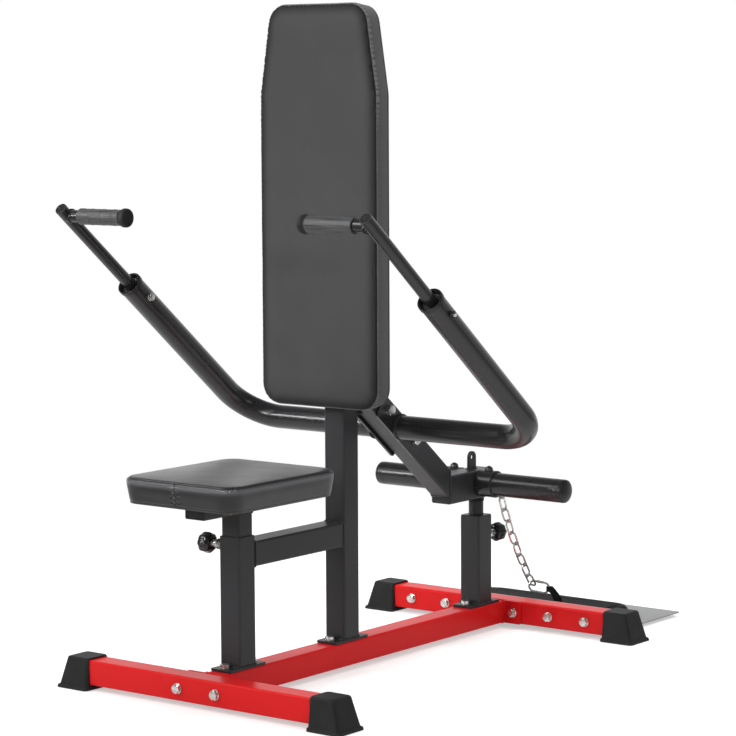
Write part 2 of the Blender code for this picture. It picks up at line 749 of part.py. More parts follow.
def seat_post():
    """The inner post, its column of pin holes and the rail welded across its top."""
    outer = TUBE - 2 * WALL - 2 * SEAT_POST_PLAY
    rail_bottom = SEAT_BOTTOM - GAP - SEAT_RAIL_HEIGHT
    centre = at(0, SLEEVE_Y + HALF, (SEAT_POST_BOTTOM + rail_bottom) / 2)
    inner = square_tube("seat_post", black_coat(), 2, rail_bottom - SEAT_POST_BOTTOM, centre,
                        outer)
    for step in range(-SEAT_HOLES_BELOW, SEAT_HOLES_ABOVE + 1):
        z = SEAT_PIN_Z + step * PIN_HOLE_PITCH
        hole(inner, at(-HALF, SLEEVE_Y + HALF, z), PIN_R, WALL * 6, (1, 0, 0), 12)
    rail = box_mesh("seat_rail", (TUBE, SEAT_RAIL_LENGTH, SEAT_RAIL_HEIGHT), 0.003, 1)
    mid = at(0, SEAT_RAIL_FRONT_Y + SEAT_RAIL_LENGTH / 2, rail_bottom + SEAT_RAIL_HEIGHT / 2)
    weld(inner, rail, mid)
    bore = box_mesh("rail_bore", (TUBE - 2 * WALL, SEAT_RAIL_LENGTH * 1.1,
                                  SEAT_RAIL_HEIGHT - 2 * WALL))
    cut(inner, bore, mid)


# Lever, weight sleeve and rest

def lever():
    """The sloping lever tube, its pivot boss and the carrier that holds the weight sleeve."""
    front = CARRIER_FRONT_Y
    run = (front + CARRIER_WALL - PIVOT_Y) / math.cos(LEVER_ANGLE)
    overrun = HALF * math.tan(LEVER_ANGLE) + 0.001
    length = LEVER_HEAD + run + overrun
    turn = Matrix.Rotation(-LEVER_ANGLE, 4, "X")
    middle = PIVOT + LEVER_DIR * (length / 2 - LEVER_HEAD)
    arm = box_mesh("lever", (TUBE, length, TUBE), TUBE_EDGE, 1)
    arm.transform(turn)
    obj = link_mesh("lever", arm, black_coat(), middle)
    bore = box_mesh("lever_bore", (TUBE - 2 * WALL, length * 1.1, TUBE - 2 * WALL))
    bore.transform(turn)
    cut(obj, bore)
    carrier_mid = at(0, front + CARRIER_LENGTH / 2, CARRIER_BOTTOM + CARRIER_HEIGHT / 2)
    trim = box_mesh("trim", (TUBE * 2, CARRIER_LENGTH, 0.2), 0, None, (0, 0, 0))
    cut(obj, trim, carrier_mid)
    carrier = box_mesh("carrier", (TUBE - WALL / 4, CARRIER_LENGTH + 0.0002, CARRIER_HEIGHT))
    weld(obj, carrier, carrier_mid - Vector((0, 0.0001, 0)))
    hollow = box_mesh("carrier_hollow", (TUBE - 2 * CARRIER_WALL,
                                         CARRIER_LENGTH - 2 * CARRIER_WALL,
                                         CARRIER_HEIGHT - 2 * CARRIER_WALL))
    cut(obj, hollow, carrier_mid)
    weld(obj, rod_mesh("boss", PIVOT_BOSS_R, TUBE - WALL, (1, 0, 0), 24), PIVOT)
    hole(obj, PIVOT, PIVOT_BUSH_R, TUBE * 1.2, (1, 0, 0), 24)
    hole(obj, at(0, SLEEVE_AXIS_Y, SLEEVE_AXIS_Z), ROUND_TUBE_R, TUBE * 1.2, (1, 0, 0), 24)
    for side in (-1, 1):
        hole(obj, YOKE_CENTRE + LEVER_DIR * side * YOKE_BOLT_SPACING / 2, YOKE_BOLT_R,
             TUBE * 1.2, (1, 0, 0))
    top = CARRIER_BOTTOM + CARRIER_HEIGHT
    reach = TOP_EYE_HEIGHT - TOP_EYE_WIDTH / 2
    weld(obj, tongue_mesh("top_eye", TOP_EYE_WIDTH, reach, EYE_THICKNESS, (0, 0, 1)),
         at(0, SLEEVE_AXIS_Y, top))
    hole(obj, at(0, SLEEVE_AXIS_Y, top + reach), EYE_HOLE_R, TUBE, (1, 0, 0), 12)
    reach = CHAIN_EYE_REACH - CHAIN_EYE_HEIGHT / 2
    weld(obj, tongue_mesh("chain_eye", CHAIN_EYE_HEIGHT, reach, EYE_THICKNESS, (0, 1, 0)),
         at(0, front + CARRIER_LENGTH, chain_eye_z()))
    hole(obj, at(0, chain_eye_y(), chain_eye_z()), EYE_HOLE_R, TUBE, (1, 0, 0), 12)


def pivot():
    """The pivot bolt through the bracket and the plain bush in the lever."""
    outer = LUG_INNER_X + LUG_THICKNESS
    fastener("pivot_bolt", PIVOT + Vector((outer, 0, 0)), (-1, 0, 0), PIVOT_BOLT_R, 2 * outer)
    width = 2 * LUG_INNER_X - 4 * GAP
    bush = link_mesh("pivot_bush", rod_mesh("pivot_bush", PIVOT_BUSH_R, width, (1, 0, 0), 24),
                     material("bronze", (0.55, 0.36, 0.16), 0.35, 1.0), PIVOT)
    hole(bush, PIVOT, PIVOT_BOLT_R, width * 1.2, (1, 0, 0))


def weight_sleeve():
    """The tube that plates slide onto, with a stop collar each side of the carrier."""
    centre = at(0, SLEEVE_AXIS_Y, SLEEVE_AXIS_Z)
    length = WEIGHT_SLEEVE_LENGTH
    sleeve = link_mesh("weight_sleeve", rod_mesh("weight_sleeve", ROUND_TUBE_R, length,
                                                 (1, 0, 0), 24), black_coat(), centre)
    for side in (-1, 1):
        x = side * (HALF + GAP + COLLAR_WIDTH / 2)
        weld(sleeve, rod_mesh("collar", COLLAR_R, COLLAR_WIDTH, (1, 0, 0), 24),
             centre + Vector((x, 0, 0)))
        weld(sleeve, rod_mesh("set_screw", 0.009, 0.012, (0, 0, 1), 12),
             centre + Vector((x, 0, COLLAR_R + 0.004)))
    cut(sleeve, rod_mesh("sleeve_bore", ROUND_TUBE_R - ROUND_WALL, length * 1.1, (1, 0, 0), 24),
        centre)
    for word, side in (("left", -1), ("right", 1)):
        sleeve_cap(f"{word}_sleeve_cap", side, centre)


def sleeve_cap(name, side, centre):
    """A plastic plug with a domed head, pushed into one end of the weight sleeve."""
    head = ROUND_TUBE_R - GAP
    end = WEIGHT_SLEEVE_LENGTH / 2 + GAP
    turn = turn_to((side, 0, 0))
    spigot = ROUND_TUBE_R - ROUND_WALL - BUSH_PLAY
    profile = [(end - SLEEVE_CAP_REACH, spigot), (end, spigot), (end, head)]
    profile += [(end + SLEEVE_CAP_RIM, head)]
    for k in range(1, 4):
        angle = math.radians(90) * k / 4
        profile.append((end + SLEEVE_CAP_RIM + SLEEVE_CAP_DOME * math.sin(angle),
                        head * math.cos(angle)))
    profile.append((end + SLEEVE_CAP_RIM + SLEEVE_CAP_DOME, head * 0.12))
    rings = []
    for x, radius in profile:
        ring = []
        for k in range(24):
            angle = 2 * math.pi * k / 24
            ring.append(turn @ Vector((math.cos(angle) * radius, math.sin(angle) * radius, x)))
        rings.append(ring)
    link_mesh(name, loft_mesh(name, rings), black_plastic(), centre)


def rest_post():
    """The stop that the carrier stands on: a square slider with a round stem and a bumper."""
    y = REST_SOCKET_Y + HALF
    outer = TUBE - 2 * WALL - 2 * SEAT_POST_PLAY
    height = REST_SLIDER_TOP - REST_SLIDER_BOTTOM
    centre = at(0, y, (REST_SLIDER_TOP + REST_SLIDER_BOTTOM) / 2)
    slider = square_tube("rest_post", black_coat(), 2, height, centre, outer)
    cover = outer - WALL
    weld(slider, box_mesh("slider_lid", (cover, cover, WALL)),
         at(0, y, REST_SLIDER_TOP - WALL / 2))
    stem_top = CARRIER_BOTTOM - 2 * GAP - BUMPER
    stem_bottom = REST_SLIDER_TOP - WALL
    weld(slider, rod_mesh("stem", REST_STEM_R, stem_top - stem_bottom, (0, 0, 1), 24),
         at(0, y, (stem_top + stem_bottom) / 2))
    for step in (0, 1):
        hole(slider, at(0, REST_SOCKET_Y + TUBE, REST_PIN_Z + step * REST_HOLE_PITCH),
             PIN_R, WALL * 6, (0, 1, 0), 12)
    bumper = rod_mesh("rest_bumper", BUMPER_R, BUMPER, (0, 0, 1), 24)
    link_mesh("rest_bumper", bumper, black_rubber(), at(0, y, stem_top + GAP + BUMPER / 2))


# Yoke and handles

def mirror_x(point, side):
    return Vector((point.x * side, point.y, point.z))


def yoke_route():
    """Centre line of the right yoke half, from its plate to the mouth of the arm."""
    inner = HALF + GAP + YOKE_PLATE / 2
    corner = YOKE_AXIS + Vector((YOKE_HALF_SPAN, 0, 0))
    centre = corner - Vector((YOKE_BEND_R, 0, 0)) + ARM_DIR * YOKE_BEND_R
    points = [YOKE_AXIS + Vector((inner, 0, 0))]
    steps = 8
    for k in range(steps + 1):
        angle = math.radians(90) * k / steps
        points.append(centre - ARM_DIR * YOKE_BEND_R * math.cos(angle)
                      + Vector((YOKE_BEND_R * math.sin(angle), 0, 0)))
    points.append(ARM_MOUTH)
    return points


def yoke(word, side):
    """One half of the yoke: a bent tube welded to a plate that bolts to the lever."""
    route = [mirror_x(p, side) for p in yoke_route()]
    obj = link_mesh(f"{word}_yoke", tube_mesh("yoke", route, ROUND_TUBE_R, 6), black_coat())
    route[0] = route[0] + Vector((side * YOKE_PLATE, 0, 0))
    route[-1] = route[-1] + ARM_DIR * 0.010
    cut(obj, tube_mesh("yoke_bore", route, ROUND_TUBE_R - ROUND_WALL, 6), (0, 0, 0))
    plate = box_mesh("yoke_plate", (YOKE_PLATE, YOKE_PLATE_LENGTH, YOKE_PLATE_WIDTH))
    drop = Matrix.Translation((0, 0, -YOKE_DROP))
    plate.transform(Matrix.Rotation(-LEVER_ANGLE, 4, "X") @ drop)
    x = side * (HALF + GAP + YOKE_PLATE / 2)
    weld(obj, plate, YOKE_CENTRE + Vector((x, 0, 0)))
    for way in (-1, 1):
        hole(obj, YOKE_CENTRE + LEVER_DIR * way * YOKE_BOLT_SPACING / 2 + Vector((x, 0, 0)),
             YOKE_BOLT_R, YOKE_PLATE * 3, (1, 0, 0), 12)
    cross = mirror_x(ARM_MOUTH - ARM_DIR * CROSS_BOLT_FROM_MOUTH, side)
    hole(obj, cross, CROSS_BOLT_R, 3 * ROUND_TUBE_R, (1, 0, 0), 12)


def yoke_bolts():
    outer = HALF + GAP + YOKE_PLATE
    for word, way in (("upper", -1), ("lower", 1)):
        spot = YOKE_CENTRE + LEVER_DIR * way * YOKE_BOLT_SPACING / 2
        fastener(f"yoke_bolt_{word}", spot + Vector((outer, 0, 0)), (-1, 0, 0), YOKE_BOLT_R,
                 2 * outer)


def handle(word, side):
    """The handle tube in its plastic bush, its welded grip bar, the grip and the cross bolt."""
    mouth = mirror_x(ARM_MOUTH, side)
    cross = mouth - ARM_DIR * CROSS_BOLT_FROM_MOUTH
    rim_start = GAP
    bush = link_mesh(f"{word}_handle_bush",
                     rod_mesh("bush_rim", BUSH_RIM_R, BUSH_RIM, ARM_DIR, 24,
                              ARM_DIR * (rim_start + BUSH_RIM / 2)), black_plastic(), mouth)
    spigot = BUSH_DEPTH + BUSH_RIM / 2
    weld(bush, rod_mesh("bush_spigot", ROUND_TUBE_R - ROUND_WALL - BUSH_PLAY, spigot, ARM_DIR, 24,
                        ARM_DIR * (BUSH_RIM / 2 - spigot / 2)), mouth)
    hole(bush, mouth, HANDLE_R, BUSH_DEPTH * 3, ARM_DIR, 24)
    hole(bush, cross, CROSS_BOLT_R, 3 * ROUND_TUBE_R, (1, 0, 0), 12)
    length = HANDLE_REACH + HANDLE_INSERT
    tube = link_mesh(f"{word}_handle",
                     rod_mesh("handle", HANDLE_R, length, ARM_DIR, 24,
                              ARM_DIR * (length / 2 - HANDLE_INSERT)), black_coat(), mouth)
    junction = mouth + ARM_DIR * (HANDLE_REACH - GRIP_BAR_FROM_END)
    inward = Vector((-side, 0, 0))
    weld(tube, rod_mesh("grip_bar", HANDLE_R, GRIP_BAR_LENGTH, inward, 24,
                        inward * GRIP_BAR_LENGTH / 2), junction)
    cut(tube, rod_mesh("handle_bore", HANDLE_R - HANDLE_WALL, length - 0.006, ARM_DIR, 20,
                       ARM_DIR * (length / 2 - HANDLE_INSERT - 0.006)), mouth)
    cut(tube, rod_mesh("grip_bore", HANDLE_R - HANDLE_WALL, GRIP_BAR_LENGTH, inward, 20,
                       inward * (GRIP_BAR_LENGTH / 2 + 0.020)), junction)
    hole(tube, cross, CROSS_BOLT_R, 3 * ROUND_TUBE_R, (1, 0, 0), 12)
    grip(word, junction, inward)
    fastener(f"{word}_handle_bolt", cross + inward * ROUND_TUBE_R, -inward, CROSS_BOLT_R,
             2 * ROUND_TUBE_R)


def grip(word, junction, inward):
    """A rubber sleeve with a closed, flanged end."""
    end = GRIP_BAR_LENGTH + GAP
    start = GRIP_BAR_LENGTH - GRIP_LENGTH
    frame = turn_to(inward)
    profile = (
        (start, GRIP_R - 0.0012), (start + 0.002, GRIP_R),
        (end - GRIP_FLANGE, GRIP_R), (end - GRIP_FLANGE + 0.004, GRIP_FLANGE_R),
        (end + 0.001, GRIP_FLANGE_R), (end + 0.004, GRIP_FLANGE_R - 0.004),
    )
    rings = []
    for x, radius in profile:
        ring = []
        for k in range(24):
            angle = 2 * math.pi * k / 24
            ring.append(frame @ Vector((math.cos(angle) * radius, math.sin(angle) * radius, x)))
        rings.append(ring)
    rubber = link_mesh(f"{word}_grip", loft_mesh("grip", rings), black_rubber(), junction)
    reach = GRIP_LENGTH + 0.010
    cut(rubber, rod_mesh("grip_socket", HANDLE_R + GAP, reach, inward, 24,
                         inward * (end - reach / 2)))


# Chain, snap hook and belt

def link_loop(start, run, sideways, length, width, wire, steps=4):
    """Centre line of an oval link whose end wires are length apart, from start along run."""
    radius = width / 2 - wire
    points = []
    for turn, centre in ((0, radius), (1, length - radius)):
        for k in range(steps + 1):
            angle = math.radians(90 + 180 * turn + 180 * k / steps)
            along = centre + radius * math.cos(angle)
            points.append(start + run * along + sideways * radius * math.sin(angle))
    return points


def chain_eye_z():
    return CARRIER_BOTTOM + CHAIN_EYE_HEIGHT / 2 + 0.004


def chain_eye_y():
    return CARRIER_FRONT_Y + CARRIER_LENGTH + CHAIN_EYE_REACH - CHAIN_EYE_HEIGHT / 2


def link_run(number):
    """Direction of one link: the chain sags, so each lies a little flatter than the last."""
    share = number / (LINK_COUNT - 1)
    fall = CHAIN_FALL_TOP + (CHAIN_FALL_END - CHAIN_FALL_TOP) * share
    return Vector((0, math.cos(fall), -math.sin(fall)))


def link_starts():
    """Middle of the upper end wire of each link, and last the end of the chain."""
    play = EYE_HOLE_R - LINK_WIRE_R - GAP - LINK_ROUND
    starts = [at(0, chain_eye_y(), chain_eye_z()) + link_run(0) * play]
    for number in range(LINK_COUNT):
        starts.append(starts[-1] + link_run(number) * LINK_PITCH)
    return starts


def chain():
    """Oval steel links, each a quarter turn from the last, joined where they bear."""
    length = LINK_PITCH + LINK_BITE * LINK_WIRE_R
    body = None
    for number, start in zip(range(LINK_COUNT), link_starts()):
        run = link_run(number)
        sideways = run.cross(Vector((1, 0, 0))) if number % 2 else Vector((1, 0, 0))
        points = link_loop(start, run, sideways, length, LINK_WIDTH, LINK_WIRE_R)
        mesh = tube_mesh("link", points, LINK_WIRE_R, 1, cyclic=True)
        if body is None:
            body = link_mesh("chain", mesh, zinc())
        else:
            weld(body, mesh, (0, 0, 0))


def hook_axes():
    """Directions of the hook: along it, level across it, and square to both."""
    run = Vector((math.cos(HOOK_TURN) * math.cos(HOOK_FALL),
                  math.sin(HOOK_TURN) * math.cos(HOOK_FALL), -math.sin(HOOK_FALL)))
    level = run.cross(Vector((0, 0, 1))).normalized()
    return run, level, level.cross(run)


def hook_start():
    """Middle of the hook's near end, whose upper bend hangs in the last link."""
    run, _, sideways = hook_axes()
    bend = HOOK_WIDTH / 2 - HOOK_WIRE_R
    bearing = link_starts()[-1] + link_run(LINK_COUNT - 1) * (LINK_BITE * LINK_WIRE_R - HOOK_ROOM)
    return (bearing - run * bend * (1 - math.cos(HOOK_CATCH))
            - sideways * bend * math.sin(HOOK_CATCH))


def hook_mesh(name, wire):
    """The hook's ring, with its wire as thick as asked."""
    run, _, sideways = hook_axes()
    points = link_loop(hook_start(), run, sideways, HOOK_LENGTH, HOOK_WIDTH, HOOK_WIRE_R)
    return tube_mesh(name, points, wire, 2, cyclic=True)


def belt():
    """The padded belt lying on the platform, with a strap loop round the bar of the hook."""
    x, y = BELT_CENTRE
    base = PLATFORM_TOP + GAP
    half_length = BELT_LENGTH / 2
    half_width = BELT_WIDTH / 2
    corners = [(x - half_length, y - half_width), (x + half_length, y - half_width),
               (x + half_length, y + half_width), (x - half_length, y + half_width)]
    rings = []
    for height, inset in ((0.0, 0.004), (0.004, 0.0), (0.012, 0.0), (BELT_THICKNESS, 0.006)):
        ring = rounded_outline(corners, inset, BELT_CORNER - inset, 5)
        rings.append([at(p.x, p.y, base + height) for p in ring])
    obj = link_mesh("belt", loft_mesh("belt", rings), webbing())
    run, level, _ = hook_axes()
    bar = hook_start() + run * HOOK_LENGTH
    heading = Vector((run.x, run.y, 0)).normalized()
    foot = base + BELT_THICKNESS - 0.003 - bar.z
    full = LOOP_THICKNESS / 2
    rings = []
    for along, top, half in ((-0.010, LOOP_ABOVE * 0.6, full * 0.5), (-0.007, LOOP_ABOVE, full),
                             (0.005, LOOP_ABOVE, full), (0.012, LOOP_ABOVE * 0.4, full * 0.5),
                             (LOOP_REACH, foot + 0.008, full * 0.5)):
        spot = bar + heading * along
        rings.append([spot + level * half + Vector((0, 0, foot)),
                      spot + level * half + Vector((0, 0, top)),
                      spot - level * half + Vector((0, 0, top)),
                      spot - level * half + Vector((0, 0, foot))])
    weld(obj, loft_mesh("strap_loop", rings), (0, 0, 0))
    cut(obj, hook_mesh("hook_room", HOOK_WIRE_R + HOOK_PLAY), (0, 0, 0))


def snap_hook():
    """The closed hook between the last link and the strap loop of the belt."""
    link_mesh("snap_hook", hook_mesh("hook", HOOK_WIRE_R), zinc())


def build():
    start_scene()
    base_frame()
    foot_platform()
    uprights()
    pull_pin("seat_pin", at(-HALF, SLEEVE_Y + HALF, SEAT_PIN_Z), (-1, 0, 0),
             SEAT_KNOB_STANDOFF)
    pull_pin("rear_pin", at(0, REST_SOCKET_Y + TUBE, REST_PIN_Z), (0, 1, 0),
             REAR_KNOB_STANDOFF)
    back_pad()
    seat_post()
    seat_pad()
    lever()
    pivot()
    weight_sleeve()
    rest_post()
    for word, side in (("left", -1), ("right", 1)):
        yoke(word, side)
        handle(word, side)
    yoke_bolts()
    chain()
    snap_hook()
    belt()


build()
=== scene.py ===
"""Looks of the seated dip machine: camera, light, materials and the finer visible pieces.

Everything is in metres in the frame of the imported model. at() places a point by its station,
which is measured from the front face of the front crossbeam.
"""
import math

import bmesh
import bpy
from mathutils import Matrix, Vector, kdtree, noise
from mathutils.bvhtree import BVHTree


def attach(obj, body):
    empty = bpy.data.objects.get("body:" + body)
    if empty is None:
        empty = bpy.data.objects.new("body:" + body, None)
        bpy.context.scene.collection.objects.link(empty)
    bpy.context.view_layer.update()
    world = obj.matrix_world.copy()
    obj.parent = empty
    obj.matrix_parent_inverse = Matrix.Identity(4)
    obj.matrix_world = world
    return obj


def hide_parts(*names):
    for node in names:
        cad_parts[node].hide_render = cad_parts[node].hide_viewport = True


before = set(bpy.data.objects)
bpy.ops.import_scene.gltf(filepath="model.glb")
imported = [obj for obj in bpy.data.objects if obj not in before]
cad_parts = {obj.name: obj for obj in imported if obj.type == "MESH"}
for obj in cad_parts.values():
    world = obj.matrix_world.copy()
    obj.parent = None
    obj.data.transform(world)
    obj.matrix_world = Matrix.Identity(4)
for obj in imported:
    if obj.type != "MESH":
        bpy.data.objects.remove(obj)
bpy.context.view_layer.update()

ORIGIN_Y = 0.638
GAP = 0.0003
TUBE = 0.050
HALF = TUBE / 2
WALL = 0.0025
CORNER_R = 0.0045
INNER_HALF = 0.022
INNER_CORNER_R = 0.005
PIN_HOLE_R = 0.0063
EYE_HOLE_R = 0.0055
PLATE = 0.005
LUG = 0.006
SHEET = 0.003
ROUND_R = 0.025
SOLE = 0.010
BEAM_MIDDLE = SOLE + HALF
BEAM_TOP = SOLE + TUBE
FOOT_TOP = BEAM_TOP + GAP + PLATE
CROSSBEAM_LENGTH = 0.660
REAR_BEAM_Y = 1.003
FLANGE_WIDTH = 0.134
FLANGE_BOLT_X = 0.0475
FOOT_LENGTH = 0.110
PLATE_CORNER_R = 0.004
SEAT_SLEEVE_TOP = 0.320
BRACE_TOP = 0.3074
UPRIGHT_TOP = 1.200
SLEEVE_Y = 0.100
UPRIGHT_Y = 0.429
REST_SOCKET_Y = 0.9015
SEAT_PIN_Z = 0.299
SEAT_BASE = 0.3945
REST_PIN_Z = 0.209
PIVOT_Y, PIVOT_Z = 0.522, 0.563
WEIGHT_Y, WEIGHT_Z = 0.910, 0.331
POSTS = (("seat", SLEEVE_Y), ("back", UPRIGHT_Y), ("rear", REST_SOCKET_Y))
SIDES = ((-1, "left"), (1, "right"))
LEVER_ANGLE = math.radians(38.7)
LEVER_DIR = Vector((0, math.cos(LEVER_ANGLE), -math.sin(LEVER_ANGLE)))
LEVER_UP = Vector((0, math.sin(LEVER_ANGLE), math.cos(LEVER_ANGLE)))
ARM_ANGLE = math.radians(39.2)
ARM_DIR = Vector((0, -math.cos(ARM_ANGLE), math.sin(ARM_ANGLE)))
ARM_UP = Vector((0, math.sin(ARM_ANGLE), math.cos(ARM_ANGLE)))
X = Vector((1, 0, 0))
Y = Vector((0, 1, 0))
Z = Vector((0, 0, 1))


def at(x, y, z):
    """A point given by its station, in the world frame."""
    return Vector((x, y - ORIGIN_Y, z))


def mirrored(point, side):
    """A point of the +x side, on the side asked for."""
    return Vector((point.x * side, point.y, point.z))


PIVOT = at(0, PIVOT_Y, PIVOT_Z)
YOKE_CENTRE = PIVOT + LEVER_DIR * 0.121
YOKE_AXIS = YOKE_CENTRE - LEVER_UP * 0.006
YOKE_HALF_SPAN = 0.379
HANDLE_R = 0.0125
GRIP_BAR = 0.1585
ARM_MOUTH = YOKE_AXIS + X * YOKE_HALF_SPAN + ARM_DIR * 0.4715
SLEEVE_AXIS = at(0, WEIGHT_Y, WEIGHT_Z)


# Camera, light and floor

GLOSS_DIM = 0.28
FLOOR_HALF = 14.0


def make_camera():
    """The photograph's viewpoint, solved from the edges of the frame."""
    azimuth = math.radians(37.51)
    pitch = math.radians(5.96)
    roll = math.radians(-0.28)
    right = Vector((math.cos(azimuth), math.sin(azimuth), 0))
    forward = Vector((-math.sin(azimuth) * math.cos(pitch),
                      math.cos(azimuth) * math.cos(pitch), -math.sin(pitch)))
    up = right.cross(forward)
    level = right * math.cos(roll) + up * math.sin(roll)
    upright = up * math.cos(roll) - right * math.sin(roll)
    data = bpy.data.cameras.new("photo_camera")
    data.sensor_width = 36.0
    data.lens = 132.1
    data.clip_end = 60.0
    camera = bpy.data.objects.new("photo_camera", data)
    matrix = Matrix((level, upright, -forward)).transposed().to_4x4()
    matrix.translation = Vector((3.348, -4.456, 1.184))
    camera.matrix_world = matrix
    bpy.context.scene.collection.objects.link(camera)
    bpy.context.scene.camera = camera


def area_lamp(name, place, target, width, height, power, spread=180):
    """A soft rectangular lamp aimed at a point."""
    data = bpy.data.lights.new(name, "AREA")
    data.shape = "RECTANGLE"
    data.size = width
    data.size_y = height
    data.energy = power
    data.spread = math.radians(spread)
    lamp = bpy.data.objects.new(name, data)
    aim = (Vector(target) - Vector(place)).to_track_quat("-Z", "Y").to_matrix().to_4x4()
    aim.translation = Vector(place)
    lamp.matrix_world = aim
    bpy.context.scene.collection.objects.link(lamp)
    return lamp


def maths(tree, operation, *terms):
    """The result of a maths node on sockets and numbers."""
    made = tree.nodes.new("ShaderNodeMath")
    made.operation = operation
    for socket, term in zip(made.inputs, terms):
        if isinstance(term, float):
            socket.default_value = term
        else:
            tree.links.new(term, socket)
    return made.outputs[0]


def mapped(tree, source, low, high, first=0.0, last=1.0, interpolation="LINEAR"):
    """A socket mapped from low..high to first..last, and held there beyond."""
    made = tree.nodes.new("ShaderNodeMapRange")
    made.interpolation_type = interpolation
    for socket, value in zip(("From Min", "From Max", "To Min", "To Max"),
                             (low, high, first, last)):
        made.inputs[socket].default_value = value
    tree.links.new(source, made.inputs["Value"])
    return made.outputs["Result"]


def across(tree, parts):
    """How far a direction or place lies towards the back and the -x side of the machine."""
    return maths(tree, "MULTIPLY_ADD", parts["Y"], 0.8, maths(tree, "MULTIPLY", parts["X"], -0.6))


def rays_shown(tree, dimming):
    """How strongly a ray is shown, glossy ones dimmed, and whether it is shown at all."""
    path = tree.nodes.new("ShaderNodeLightPath").outputs
    straight = maths(tree, "MAXIMUM", path["Is Camera Ray"], path["Is Transmission Ray"])
    gloss = maths(tree, "MULTIPLY", path["Is Glossy Ray"], dimming)
    return (maths(tree, "MAXIMUM", straight, gloss),
            maths(tree, "MAXIMUM", straight, path["Is Glossy Ray"]))


def mixed(tree, factor, first, second, output):
    """Mixes two shaders into the output node of a kind."""
    mix = tree.nodes.new("ShaderNodeMixShader")
    for source, socket in zip((factor, first.outputs[0], second.outputs[0]), mix.inputs):
        tree.links.new(source, socket)
    tree.links.new(mix.outputs[0], tree.nodes.new(output).inputs["Surface"])


def make_world():
    """White where it is seen, dimmer where only the front of a gloss shows it, grey as fill."""
    world = bpy.data.worlds.new("studio")
    world.use_nodes = True
    tree = world.node_tree
    tree.nodes.clear()
    towards = tree.nodes.new("ShaderNodeSeparateXYZ")
    tree.links.new(tree.nodes.new("ShaderNodeTexCoord").outputs["Generated"], towards.inputs[0])
    behind = mapped(tree, across(tree, towards.outputs), 0.30, 0.95, GLOSS_DIM)
    low = mapped(tree, towards.outputs["Z"], 0.25, 0.70, 1.0, 0.30)
    strength, shown = rays_shown(tree, maths(tree, "MULTIPLY", behind, low))
    seen = tree.nodes.new("ShaderNodeBackground")
    tree.links.new(strength, seen.inputs["Strength"])
    fill = tree.nodes.new("ShaderNodeBackground")
    fill.inputs["Strength"].default_value = 0.55
    for source in (seen, fill):
        source.inputs["Color"].default_value = (1, 1, 1, 1)
    mixed(tree, shown, fill, seen, "ShaderNodeOutputWorld")
    bpy.context.scene.world = world


def make_floor():
    """A pale floor that keeps a soft shadow and runs out into the white background."""
    mesh = bpy.data.meshes.new("floor")
    mesh.from_pydata([(x * FLOOR_HALF, y * FLOOR_HALF, 0)
                      for x, y in ((-1, -1), (1, -1), (1, 1), (-1, 1))], [], [(0, 1, 2, 3)])
    floor = bpy.data.objects.new("floor", mesh)
    floor.location.z = -0.0006
    bpy.context.scene.collection.objects.link(floor)
    mat = bpy.data.materials.new("studio_floor")
    mat.use_nodes = True
    tree = mat.node_tree
    tree.nodes.clear()
    place = tree.nodes.new("ShaderNodeTexCoord").outputs["Object"]
    parts = tree.nodes.new("ShaderNodeSeparateXYZ")
    tree.links.new(place, parts.inputs[0])
    strength, shown = rays_shown(tree, mapped(tree, across(tree, parts.outputs), 0.0, 3.0,
                                              GLOSS_DIM))
    reach = tree.nodes.new("ShaderNodeVectorMath")
    reach.operation = "LENGTH"
    tree.links.new(place, reach.inputs[0])
    away = mapped(tree, reach.outputs["Value"], 0.95, 2.3, interpolation="SMOOTHSTEP")
    paper = tree.nodes.new("ShaderNodeBsdfDiffuse")
    paper.inputs["Color"].default_value = (0.72, 0.72, 0.72, 1)
    lift = tree.nodes.new("ShaderNodeEmission")
    tree.links.new(maths(tree, "MULTIPLY", strength, 0.46), lift.inputs["Strength"])
    near = tree.nodes.new("ShaderNodeAddShader")
    tree.links.new(paper.outputs[0], near.inputs[0])
    tree.links.new(lift.outputs[0], near.inputs[1])
    white = tree.nodes.new("ShaderNodeEmission")
    tree.links.new(strength, white.inputs["Strength"])
    mixed(tree, maths(tree, "MULTIPLY", shown, away), near, white, "ShaderNodeOutputMaterial")
    mesh.materials.append(mat)


def make_stage():
    """Camera, backdrop and the five lamps."""
    bpy.context.scene.view_settings.view_transform = "Standard"
    make_camera()
    make_world()
    make_floor()
    area_lamp("key", (-1.7, -2.7, 2.8), (0, 0, 0.6), 1.7, 1.4, 52)
    area_lamp("front", (-0.5, -3.6, 1.6), (0, -0.2, 0.95), 1.2, 0.7, 4.5, 44)
    area_lamp("glint", (-2.7, -3.2, 1.75), (-0.17, -0.02, 0.6), 0.7, 0.3, 0.50, 16)
    area_lamp("side", (3.2, -0.8, 2.4), (0, 0, 0.6), 1.0, 1.2, 12)
    area_lamp("top", (0, 0.6, 4.0), (0, 0, 0), 2.4, 2.4, 84).visible_glossy = False


# Materials

